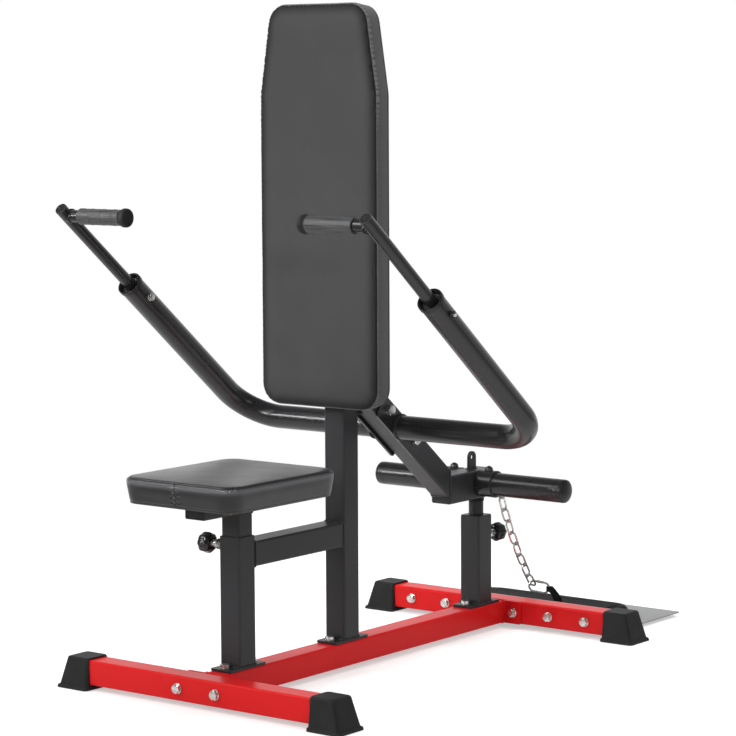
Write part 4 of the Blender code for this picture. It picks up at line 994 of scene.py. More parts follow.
def pull_pin(name, face, outward, standoff, body):
    """A threaded barrel, a bright shank and a lobed knob."""
    length = 0.026
    hexed = 0.008
    profile = [(0.0, 0.0066), (0.0, 0.0110), (0.0005, 0.0110), (hexed, 0.0104), (hexed, 0.0098)]
    distance = hexed + 0.001
    while distance < length - 0.004:
        profile += [(distance, 0.0106), (distance + 0.0008, 0.0098)]
        distance += 0.0016
    profile += [(length - 0.003, 0.0088), (length - 0.0006, 0.0088), (length, 0.0082),
                (length, 0.0066)]
    barrel = Shape().lathe(face + outward * GAP, outward, profile, 40)
    hex_block(barrel, face + outward * (GAP + 0.0002), outward, 0.0104, hexed, 0.2, both=True)
    barrel.piece(f"{name}_barrel", ZINC, "frame", "zinc", (f"{name}_housing",))
    out = standoff + WALL
    Shape().lathe(face - outward * WALL, outward,
                  ((0.0, 0.0048), (0.0008, 0.0060), (out - 0.004, 0.0060), (out - 0.004, 0.0075),
                   (out + 0.004, 0.0075)), 32).piece(f"{name}_shank", ZINC, body, "zinc", (name,))
    size = 0.0210
    tall = 0.027
    first, second = axes_for(outward)
    profile = [(0.0, 0.36, 0.0), (0.0, 0.62, 0.1), (0.04, 0.72, 0.3), (0.12, 0.86, 0.7),
               (0.22, 0.96, 1.0), (0.34, 1.0, 1.0), (0.62, 1.0, 1.0), (0.76, 0.985, 1.0),
               (0.86, 0.94, 0.9), (0.93, 0.86, 0.7), (0.975, 0.74, 0.4), (1.0, 0.56, 0.15),
               (1.0, 0.42, 0.0), (0.975, 0.38, 0.0), (0.975, 0.10, 0.0)]
    rings = []
    for depth, radius, lobes in profile:
        ring = []
        for k in range(96):
            angle = 2 * math.pi * k / 96
            lobe = 1.0 - 0.085 * lobes * (0.5 - 0.5 * math.cos(8 * angle)) ** 0.8
            ring.append(face + outward * (standoff + tall * depth)
                        + spoke(first, second, angle) * size * radius * lobe)
        rings.append(ring)
    Shape().loft(rings).piece(f"{name}_knob", KNOB_PLASTIC, body, "plastic", (name,))


# Seat post

def seat_post():
    """The inner tube with its column of pin holes, and the rail across its top."""
    y = SLEEVE_Y + HALF
    rail_half = 0.014
    rail_z = SEAT_BASE - GAP - rail_half
    tube = Shape()
    box_tube(tube, at(0, y, 0.100), at(0, y, rail_z - rail_half), X, INNER_HALF, INNER_HALF,
             INNER_CORNER_R)
    post = Shape().drilled(tube, [(at(-INNER_HALF, y, SEAT_PIN_Z + step * 0.025), X, PIN_HOLE_R,
                                   0.010) for step in range(-4, 2)])
    box_tube(post, at(0, 0.002, rail_z), at(0, 0.237, rail_z), X, HALF, rail_half, 0.0035)
    post.bead(square_ring(at(0, y, rail_z - rail_half - 0.0004), X, Y, INNER_HALF + 0.0004,
                          INNER_HALF + 0.0004, INNER_CORNER_R), 0.0024)
    post.piece("seat_post_tube", BLACK, "seat", "black_coat", ("seat_post",))
    for word, mouth, way in (("front", 0.002, 1), ("rear", 0.237, -1)):
        plug = Shape()
        solid_bar(plug, at(0, mouth + way * 0.0006, rail_z), at(0, mouth + way * 0.010, rail_z),
                  X, HALF - WALL - 0.0001, rail_half - WALL - 0.0001, 0.0012, 0.0008)
        plug.piece(f"seat_rail_{word}_plug", PLASTIC, "seat", "plastic", ("seat_post",))


# Lever

def eye(shape, width, reach, place):
    """A round-ended tongue with a hole at its end, standing on its root at u = 0."""
    half = width / 2
    outer = arc(reach, 0, half, -90, 90, 28)
    outer += [(reach * (1 - k / 5), half) for k in range(1, 5)]
    outer += [(-0.001, half - width * k / 8) for k in range(9)]
    outer += [(reach * k / 5, -half) for k in range(1, 5)]
    centre = Vector((reach, 0))
    outer = [Vector(p) for p in outer]
    inner = [centre + (p - centre).normalized() * EYE_HOLE_R for p in outer]
    edge = 0.0005
    rings = []
    for height, grow, source in ((edge, 0.0, outer), (LUG - edge, 0.0, outer), (LUG, edge, outer),
                                 (LUG, -edge, inner), (LUG - edge, 0.0, inner),
                                 (edge, 0.0, inner), (0.0, -edge, inner), (0.0, edge, outer)):
        points = [p - (p - centre).normalized() * grow for p in source]
        rings.append([place(p.x, p.y, height - LUG / 2) for p in points])
    shape.loft(rings, loop=True)
    shape.bead([place(0.0006, w * half, s * 0.0034)
                for s, w in ((-1, -1), (1, -1), (1, 1), (-1, 1))], 0.0018)


def lever():
    """The sloping tube, its boss, the carrier of the weight sleeve and two eyes."""
    front = 0.797
    back = front + 0.158
    bottom = 0.297
    half_height = 0.031
    middle = bottom + half_height
    top = middle + half_height
    meet = (front - PIVOT_Y) / math.cos(LEVER_ANGLE)
    tube = Shape()
    box_tube(tube, PIVOT - LEVER_DIR * 0.027, PIVOT + LEVER_DIR * (meet + 0.024), X)
    shape = Shape().less(tube, Shape().box(at(0, front + 0.05, 0.33), (0.1, 0.1, 0.3), 0.0005))
    shape.lathe(PIVOT - X * (HALF - 0.0012), X,
                ((0.0, 0.0122), (0.0, 0.0172), (0.0008, 0.018), (0.0468, 0.018),
                 (0.0476, 0.0172), (0.0476, 0.0122)), loop=True)
    shape.lathe(PIVOT - LEVER_DIR * 0.0268, -LEVER_DIR,
                ((-0.003, 0.012), (-0.003, 0.0205), (-0.0012, 0.0212), (0.0, 0.0200),
                 (0.0002, 0.012)), 4)
    carrier = Shape()
    solid_bar(carrier, at(0, front, middle), at(0, back, middle), X, HALF, half_height, CORNER_R,
              0.0012)
    shape.drilled(carrier, [(SLEEVE_AXIS, X, 0.0253, 0.08)])
    rise = HALF / math.cos(LEVER_ANGLE)
    centre_z = PIVOT_Z - (front - PIVOT_Y) * math.tan(LEVER_ANGLE)
    shape.bead(square_ring(at(0, front - 0.0008, centre_z), X, Z, HALF - 0.0008, rise - 0.0008,
                           0.005), 0.0028)
    eye(shape, 0.026, 0.026, lambda u, v, h: at(h, WEIGHT_Y + v, top + u))
    eye(shape, 0.028, 0.055, lambda u, v, h: at(h, back + u, bottom + 0.018 + v))
    shape.piece("lever_weldment", BLACK, "lever", "black_coat", ("lever",))
    outer = 0.0328
    bolt("pivot_bolt", PIVOT + X * outer, -X, M16, 2 * outer, "frame", phase=0.4)
    width = 2 * 0.0268 - 4 * GAP
    bush = Shape().lathe(PIVOT - X * width / 2, X,
                         ((0.0004, 0.0083), (0.0, 0.0088), (0.0, 0.0115), (0.0004, 0.012),
                          (width - 0.0004, 0.012), (width, 0.0115), (width, 0.0088),
                          (width - 0.0004, 0.0083)), 40, loop=True)
    bush.piece("pivot_bush_sleeve", BRONZE, "lever", "bronze", ("pivot_bush",))


def weight_sleeve():
    """The grooved tube with its stop collars, set screws and end plugs."""
    length = 0.476
    half = length / 2
    profile = [(0.0, 0.0247), (0.0004, ROUND_R)]
    for groove in (0.0125, length - 0.0125):
        profile += [(groove - 0.0009, ROUND_R), (groove - 0.0005, 0.0244),
                    (groove + 0.0005, 0.0244), (groove + 0.0009, ROUND_R)]
    profile += [(length - 0.0004, ROUND_R), (length, 0.0247), (length, 0.0225), (0.0, 0.0225)]
    shape = Shape().lathe(SLEEVE_AXIS - X * half, X, profile, 72, loop=True)
    inner = HALF + GAP
    for side in (-1, 1):
        shape.lathe(SLEEVE_AXIS + X * side * inner, X * side,
                    ((0.0, 0.0248), (0.0, 0.0284), (0.0006, 0.029), (0.0403, 0.029),
                     (0.0410, 0.0283), (0.0410, 0.0248)), 72, loop=True)
        shape.bead(ring_round(SLEEVE_AXIS + X * side * (inner + 0.0414), X, 0.0256), 0.0014)
    shape.piece("weight_sleeve_tube", GLOSS_BLACK, "lever", "black_coat", ("weight_sleeve",))
    for side, word in SIDES:
        dome = [(0.0, 0.0085), (0.0008, 0.0090), (0.0030, 0.0089)]
        dome += [(0.003 + 0.0072 * math.sin(math.radians(a)), 0.0089 * math.cos(math.radians(a)))
                 for a in (20, 40, 58, 72)]
        dome += [(0.0102, 0.0029), (0.0084, 0.0026), (0.0080, 0.0006)]
        base = SLEEVE_AXIS + Vector((side * (inner + 0.0205), 0, 0.0280))
        screw = Shape().lathe(base, Z, dome, 36)
        screw.piece(f"{word}_set_screw", DARK_STEEL, "lever", "black_coat", ("weight_sleeve",))
        start = half + GAP
        rim = 0.0247
        profile = [(start - 0.018, 0.0212), (start - 0.017, 0.0218), (start, 0.0218), (start, rim),
                   (start + 0.0026, rim), (start + 0.0034, rim - 0.0003)]
        for k in range(1, 9):
            angle = math.radians(10 * k)
            profile.append((start + 0.003 + 0.008 * math.sin(angle), rim * math.cos(angle)))
        profile.append((start + 0.011, 0.001))
        plug = Shape().lathe(SLEEVE_AXIS, X * side, profile, 64)
        plug.piece(f"{word}_sleeve_plug", PLASTIC, "lever", "plastic", (f"{word}_sleeve_cap",))


def yoke_route(side):
    """Centre line of one yoke half, from its plate to the mouth of the arm."""
    bend = 0.092
    centre = YOKE_AXIS + X * (YOKE_HALF_SPAN - bend) + ARM_DIR * bend
    points = [YOKE_AXIS + X * (HALF + GAP + LUG / 2)]
    points += [centre + spoke(-ARM_DIR, X, math.radians(90 * k / 32)) * bend for k in range(33)]
    return [mirrored(p, side) for p in points + [ARM_MOUTH]]


def yokes():
    """Two bent arms, each welded to a plate, and the bolts through both plates."""
    outer = HALF + GAP + LUG
    for side, word in SIDES:
        shape = Shape().sweep(yoke_route(side), ROUND_R, 64)
        shape.lathe(mirrored(ARM_MOUTH, side) - ARM_DIR * 0.0006, ARM_DIR,
                    ((0.0, 0.0223), (0.0, 0.0249), (0.0004, 0.0246), (0.0006, 0.0242),
                     (0.0006, 0.0223)), 64, loop=True)
        x = side * (outer - LUG / 2) - LUG / 2
        shape.slab(rounded_rectangle(0.168, 0.050, 0.006), LUG,
                   lambda u, v, h: YOKE_AXIS + X * (x + h) + LEVER_DIR * u + LEVER_UP * v, 0.0008)
        shape.lathe(YOKE_AXIS + X * side * outer, X * side,
                    ((0.0, 0.0248), (0.0, 0.0285), (0.0034, 0.0285), (0.0042, 0.0278),
                     (0.0042, 0.0248)), 64, loop=True)
        shape.bead(ring_round(YOKE_AXIS + X * side * (outer + 0.0046), X, ROUND_R - 0.0002),
                   0.0022)
        shape.piece(f"{word}_yoke_tube", GLOSS_BLACK, "lever", "black_coat", (f"{word}_yoke",))
    for word, way in (("upper", -1), ("lower", 1)):
        spot = YOKE_CENTRE + LEVER_DIR * way * 0.056
        bolt(f"yoke_bolt_{word}", spot + X * outer, -X, M12, 2 * outer, "lever",
             phase=0.3 + 0.2 * way, broad=1.72)


def handles():
    """Handle tubes in their bushes, with grip bars, plugs, grips and bolts."""
    reach = 0.262
    for side, word in SIDES:
        mouth = mirrored(ARM_MOUTH, side)
        inward = X * -side
        junction = mouth + ARM_DIR * (reach - 0.024)
        bush = Shape().lathe(
            mouth, ARM_DIR,
            ((-0.060, 0.0130), (-0.060, 0.0215), (GAP, 0.0218), (GAP, 0.0255), (0.0012, 0.0265),
             (0.0070, 0.0265), (0.0094, 0.0262), (0.0103, 0.0252), (0.0103, 0.0240),
             (0.0090, 0.0226), (0.0040, 0.0205), (-0.0060, 0.0185), (-0.0100, 0.0150),
             (-0.0110, 0.0130)), 72, loop=True)
        bush.piece(f"{word}_handle_bush_moulding", PLASTIC, "lever", "plastic",
                   (f"{word}_handle_bush",))
        tube = Shape().lathe(
            mouth, ARM_DIR,
            ((-0.110, 0.0108), (-0.110, 0.0123), (-0.1096, HANDLE_R), (reach - 0.0006, HANDLE_R),
             (reach, 0.0119), (reach, 0.0106)), loop=True)
        tube.lathe(junction, inward, ((0.0, 0.0122), (0.010, HANDLE_R),
                                      (GRIP_BAR - 0.001, HANDLE_R), (GRIP_BAR, 0.0118)))
        weld = []
        for k in range(48):
            angle = 2 * math.pi * k / 48
            aside = math.sin(angle) * 0.0127
            deep = math.sqrt(max(HANDLE_R ** 2 - aside ** 2, 0.0))
            weld.append(junction + inward * (deep + 0.0008) + ARM_DIR * aside
                        + ARM_UP * math.cos(angle) * 0.0127)
        tube.bead(weld, 0.0024)
        tube.piece(f"{word}_handle_tube", GLOSS_BLACK, "lever", "black_coat", (f"{word}_handle",))
        plug = Shape().lathe(
            mouth + ARM_DIR * (reach - 0.010), ARM_DIR,
            ((0.0, 0.0095), (0.0010, 0.0104), (0.0094, 0.0105), (0.0098, 0.0100),
             (0.0098, 0.0036), (0.0104, 0.0032), (0.0116, 0.0026), (0.0120, 0.0010)), 40)
        plug.piece(f"{word}_handle_plug", PLASTIC, "lever", "plastic", (f"{word}_handle",))
        rim = Shape().lathe(mouth + ARM_DIR * (reach + 0.0001), ARM_DIR,
                            ((0.0, 0.0107), (0.0, 0.0121), (0.0005, 0.0119), (0.0005, 0.0109)),
                            loop=True)
        rim.piece(f"{word}_handle_rim", DARK_STEEL, "lever", "zinc", (f"{word}_handle",))
        grip(word, junction, inward)
        bolt(f"{word}_handle_bolt", mouth - ARM_DIR * 0.036 + inward * ROUND_R, -inward, M8,
             2 * ROUND_R, "lever", phase=0.4 * side, nut_material=PLASTIC)


def grip(word, junction, inward):
    """A rubber sleeve with fine rings, lengthwise ribs and a flanged end."""
    end = GRIP_BAR + GAP
    start = 0.037
    flange = 0.0187
    profile = [(start, 0.0129), (start, 0.0150), (start + 0.0012, 0.0163), (start + 0.010, 0.0164),
               (start + 0.0108, 0.0159)]
    for step in (0.26, 0.50, 0.74):
        spot = start + (end - start) * step
        profile += [(spot, 0.0160), (spot + 0.0006, 0.0164), (spot + 0.0022, 0.0164),
                    (spot + 0.0028, 0.0159)]
    profile += [(end - 0.0130, 0.0160), (end - 0.0128, 0.0129)]
    sleeve = Shape().lathe(junction, inward, profile, 160, loop=True,
                           wave=lambda angle: 1.0 - 0.006 * max(0.0, math.cos(40 * angle)))
    sleeve.piece(f"{word}_grip_sleeve", GRIP_RUBBER, "lever", "rubber", (f"{word}_grip",))
    cap = Shape()
    cap.lathe(junction, inward,
              ((end - 0.0127, 0.0129), (end - 0.0127, 0.0158), (end - 0.0110, 0.0164),
               (end - 0.0085, 0.0170), (end - 0.0070, flange - 0.0008), (end - 0.0060, flange),
               (end - 0.0002, flange), (end + 0.0018, flange - 0.0007),
               (end + 0.0034, flange - 0.0028), (end + 0.0040, 0.0130), (end + 0.0036, 0.0108),
               (end + 0.0034, 0.0010)), 72)
    cap.piece(f"{word}_grip_end", RUBBER, "lever", "rubber", (f"{word}_grip",))


# Rest

def rest():
    """The sliding post under the lever, with its stem and rubber bumper."""
    y = REST_SOCKET_Y + HALF
    stem_foot = 0.2375
    tube = Shape()
    box_tube(tube, at(0, y, 0.125), at(0, y, 0.2385), X, INNER_HALF, INNER_HALF, INNER_CORNER_R)
    post = Shape().drilled(tube, [(at(0, y + INNER_HALF, REST_PIN_Z + step * 0.020), Y,
                                   PIN_HOLE_R, 0.010) for step in (0, 1)])
    solid_bar(post, at(0, y, 0.2370), at(0, y, 0.240), X, INNER_HALF - 0.0003,
              INNER_HALF - 0.0003, INNER_CORNER_R)
    stem_top = 0.297 - 2 * GAP - 0.009
    post.lathe(at(0, y, stem_foot), Z,
               ((0.0, 0.016), (stem_top - stem_foot - 0.0006, 0.016),
                (stem_top - stem_foot, 0.0154)), 56)
    post.piece("rest_post_tube", BLACK, "rest", "black_coat", ("rest_post",))
    bumper = Shape().lathe(
        at(0, y, stem_top + GAP), Z,
        ((0.0, 0.0163), (0.0010, 0.0173), (0.0034, 0.0175), (0.0042, 0.0168), (0.0050, 0.0175),
         (0.0080, 0.0172), (0.0088, 0.0162), (0.0090, 0.0120)), 56)
    bumper.piece("rest_bumper_disc", RUBBER, "rest", "rubber", ("rest_bumper",))


# Chain, hook and belt

def link_loop(start, run, sideways, length, width, wire, steps=12):
    """Centre line of an oval link that starts at the middle of its near end."""
    radius = width / 2 - wire
    flat = (arc(radius, 0, radius, 90, 270, steps)
            + arc(length - radius, 0, radius, 270, 450, steps))
    return [start + run * u + sideways * v for u, v in flat]


LINK_PITCH = 0.0310
LINK_WIRE = 0.0024
LINK_WIDTH = 0.0222
LINK_COUNT = 9
LINK_BEARING = 1.7 * LINK_WIRE
LINK_LENGTH = LINK_PITCH + LINK_BEARING
HOOK_WIDTH = 0.028
HOOK_WIRE = 0.0025
HOOK_LENGTH = 0.045
HOOK_TURN = math.radians(38.0)
HOOK_FALL = math.radians(12.0)
HOOK_RUN = Vector((math.cos(HOOK_TURN) * math.cos(HOOK_FALL),
                   math.sin(HOOK_TURN) * math.cos(HOOK_FALL), -math.sin(HOOK_FALL)))
HOOK_LEVEL = HOOK_RUN.cross(Z).normalized()
HOOK_SIDE = HOOK_LEVEL.cross(HOOK_RUN)


def link_run(number):
    """Direction of one link: the chain sags, so each lies a little flatter than the last."""
    fall = math.radians(69.0 - 16.5 * number / (LINK_COUNT - 1))
    return Vector((0, math.cos(fall), -math.sin(fall)))


def link_starts():
    """Middle of the near end of each link, and of what follows the last."""
    starts = [at(0, 1.010, 0.315) + link_run(0) * (0.0055 - LINK_WIRE - GAP - 0.0013)]
    for number in range(LINK_COUNT):
        starts.append(starts[-1] + link_run(number) * LINK_PITCH)
    return starts


def hook_start():
    """Middle of the hook's near end, whose upper bend hangs in the last link."""
    bend = HOOK_WIDTH / 2 - HOOK_WIRE
    catch = math.radians(45.0)
    bearing = link_starts()[-1] + link_run(LINK_COUNT - 1) * (LINK_BEARING - 0.0115)
    return (bearing - HOOK_RUN * bend * (1 - math.cos(catch)) - HOOK_SIDE * bend * math.sin(catch))


def chain():
    """Links turned a quarter to each other, each with its weld."""
    shape = Shape()
    for number, start in zip(range(LINK_COUNT), link_starts()):
        run = link_run(number)
        sideways = run.cross(X) if number % 2 else X
        loop = link_loop(start, run, sideways, LINK_LENGTH, LINK_WIDTH, LINK_WIRE)
        loop = resample(loop, 0.0011, loop=True)
        middle = start + run * LINK_LENGTH / 2 + sideways * (LINK_WIDTH / 2 - LINK_WIRE)
        sizes = [LINK_WIRE * (1 + 0.16 * math.exp(-((p - middle).length / 0.0016) ** 2))
                 for p in loop]
        shape.sweep(loop, sizes, 12, loop=True)
    shape.piece("chain_links", ZINC, "belt_line", "zinc", ("chain",))


def snap_hook():
    """An oval hook with a sprung gate on one side."""
    near = hook_start()
    loop = resample(link_loop(near, HOOK_RUN, HOOK_SIDE, HOOK_LENGTH, HOOK_WIDTH, HOOK_WIRE, 16),
                    0.0012, loop=True)
    shape = Shape()
    shape.sweep(loop, HOOK_WIRE, 16, loop=True)
    edge = HOOK_SIDE * (HOOK_WIDTH / 2 - HOOK_WIRE)
    gate_a = near + HOOK_RUN * (HOOK_LENGTH * 0.34) + edge
    span = HOOK_LENGTH * 0.34
    shape.lathe(gate_a, HOOK_RUN, ((0.0, 0.0022), (0.0004, 0.0031), (span - 0.0025, 0.0031),
                                   (span - 0.002, 0.0027), (span, 0.0027)), 24)
    shape.lathe(gate_a + HOOK_RUN * 0.003 - HOOK_LEVEL * 0.0038, HOOK_LEVEL,
                ((0.0, 0.0009), (0.0003, 0.0014), (0.0073, 0.0014), (0.0076, 0.0009)), 20)
    shape.piece("snap_hook_body", ZINC, "belt_line", "zinc", ("snap_hook",))


def belt():
    """A padded belt lying on the platform, with bound edges, a strap and a strap loop."""
    x0, y0 = -0.005, 1.205
    base = 0.010 + GAP
    half_l = 0.195
    half_w = 0.065

    def edge(height, inset):
        """The pad's rounded outline at a height."""
        return square_ring(at(x0, y0, base + height), X, Y, half_l - inset, half_w - inset,
                           0.045 - inset, 16)

    levels = [(0.0, 0.0040), (0.0014, 0.0012), (0.0040, 0.0), (0.0078, 0.0012), (0.0105, 0.0),
              (0.0140, 0.0008), (0.0164, 0.0034), (0.0176, 0.0080), (0.0180, 0.0160)]
    pad = Shape().loft([edge(*level) for level in levels])
    pad.piece("belt_pad", FELT, "belt_line", "webbing", ("belt",), weighted=False)
    binding = Shape().sweep(resample(edge(0.0090, 0.0006), 0.003, loop=True), 0.0036, 12,
                            loop=True)
    binding.piece("belt_binding", WEBBING, "belt_line", "webbing", ("belt",), weighted=False)
    strap = Shape().box(at(x0, y0, base + 0.0188), (0.350, 0.050, 0.0022))
    strap.piece("belt_strap", WEBBING, "belt_line", "webbing", ("belt",))
    stitches = Shape()
    for side in (-1, 1):
        for k in range(56):
            spot = at(x0 - 0.165 + 0.006 * k, y0 + side * 0.0215, base + 0.0200)
            stitches.sweep([spot - X * 0.0019, spot + Z * 0.0003, spot + X * 0.0019], 0.00045, 6)
    stitches.piece("belt_stitches", THREAD, "belt_line", "webbing", ("belt",), weighted=False)
    bar = hook_start() + HOOK_RUN * HOOK_LENGTH
    heading = Vector((HOOK_RUN.x, HOOK_RUN.y, 0)).normalized()
    foot = base + 0.017 - bar.z
    path = [(0.030, -0.0014), (0.022, -0.0016), (0.015, -0.0024), (0.009, -0.0038),
            (0.004, -0.0048)]
    turn = [(-0.0050 * math.cos(math.radians(a)), -0.0050 * math.sin(math.radians(a)))
            for a in (70, 45, 20, 0, -20, -45, -70)]
    path = path + turn + [(u, -v) for u, v in reversed(path)]
    half_band = 0.0055
    rings = []
    for i, (u, v) in enumerate(path):
        before = Vector(path[max(i - 1, 0)])
        after = Vector(path[min(i + 1, len(path) - 1)])
        ahead = (after - before).normalized()
        thick = Vector((-ahead.y, ahead.x)) * 0.0010
        share = min(1.0, max(0.0, (u - 0.002) / 0.012))
        low = -half_band + (foot + half_band) * share
        high = half_band + (foot + 0.010 - half_band) * max(0.0, (u - 0.008) / 0.022) ** 1.2
        spots = [(Vector((u, v)) + thick * s, z)
                 for s, z in ((-1, low), (1, low), (1, high), (-1, high))]
        rings.append([bar + heading * p.x + HOOK_LEVEL * p.y + Z * z for p, z in spots])
    Shape().loft(rings).piece("belt_loop", WEBBING, "belt_line", "webbing", ("belt",))


# Pads

def pad_outline(corners, inset, radius, step=0.004):
    """The pad's edge, moved inwards, rounded at its corners and evenly sampled."""
    count = len(corners)
    points = [Vector(c) for c in corners]
    edges = []
    for i in range(count):
        along = (points[(i + 1) % count] - points[i]).normalized()
        edges.append((points[i] + Vector((-along.y, along.x)) * inset, along))
    outline = []
    for i in range(count):
        base_a, dir_a = edges[i - 1]
        base_b, dir_b = edges[i]
        cross = dir_a.x * dir_b.y - dir_a.y * dir_b.x
        offset = base_b - base_a
        t = (offset.x * dir_b.y - offset.y * dir_b.x) / cross
        corner = base_a + dir_a * t
        turn = math.atan2(cross, dir_a.dot(dir_b))
        start = corner - dir_a * radius * math.tan(turn / 2)
        centre = start + Vector((-dir_a.y, dir_a.x)) * radius
        outline += [centre + turned(start - centre, turn * k / 12) for k in range(13)]
    flat = resample([(p.x, p.y, 0) for p in outline], step, loop=True)
    return [Vector((p.x, p.y)) for p in flat]


def swell(obj, held_of, cap):
    """Blows the cover up over its foam with a cloth simulation; back and seam stay put."""
    frames = 20
    data = obj.data
    group = obj.vertex_groups.new(name="held")
    for vertex in data.vertices:
        weight = held_of(vertex.co)
        if weight > 0:
            group.add([vertex.index], weight, "REPLACE")
    start = [v.co.copy() for v in data.vertices]
    cloth = obj.modifiers.new("cover", "CLOTH")
    for setting, value in (("quality", 6), ("mass", 0.35), ("tension_stiffness", 40),
                           ("compression_stiffness", 12), ("shear_stiffness", 8),
                           ("bending_stiffness", 1.2), ("use_pressure", True),
                           ("uniform_pressure_force", 4.0), ("vertex_group_mass", "held")):
        setattr(cloth.settings, setting, value)
    cloth.settings.effector_weights.gravity = 0
    cloth.collision_settings.use_collision = False
    cloth.point_cache.frame_start = 1
    cloth.point_cache.frame_end = frames
    scene = bpy.context.scene
    for number in range(1, frames + 1):
        scene.frame_set(number)
    done = obj.evaluated_get(bpy.context.evaluated_depsgraph_get())
    moved = [v.co.copy() for v in done.data.vertices]
    obj.modifiers.remove(cloth)
    scene.frame_set(1)
    for vertex, before, after in zip(data.vertices, start, moved):
        shift = after - before
        reach = shift.length
        if reach > 0:
            vertex.co = before + shift * (cap * math.tanh(reach / cap) / reach)


def refine(mesh, near):
    """Splits the faces near a seam once more, so that the seam comes out crisp."""
    bm = bmesh.new()
    bm.from_mesh(mesh)
    close = {v for v in bm.verts if near(v.co)}
    edges = [e for e in bm.edges if e.verts[0] in close and e.verts[1] in close]
    made = bmesh.ops.subdivide_edges(bm, edges=edges, cuts=1, use_grid_fill=True)
    fresh = [v for v in made["geom_inner"] if isinstance(v, bmesh.types.BMVert)]
    bmesh.ops.smooth_vert(bm, verts=fresh, factor=0.5, use_axis_x=True, use_axis_y=True,
                          use_axis_z=True)
    bm.to_mesh(mesh)
    bm.free()
    mesh.update()


BACK_EDGE = (0.0438, 0.0004, ((0.0458, 0.0014), (0.0480, 0.0038), (0.0499, 0.0078),
                             (0.0511, 0.0135), (0.0517, 0.0220), (0.0518, 0.0500)))
SEAT_EDGE = (0.0490, 0.0020, ((0.0502, 0.0052), (0.0511, 0.0100), (0.0518, 0.0180),
                             (0.0523, 0.0300), (0.0525, 0.0500)))
SEAM_STEP = 0.002
RING_POINTS = 240
BAND = ((0.0, 1.0), (0.03, 0.92), (0.12, 0.80), (0.24, 0.64), (0.37, 0.50), (0.55, 0.30),
        (0.71, 0.10), (0.83, 0.0), (0.93, 0.03))


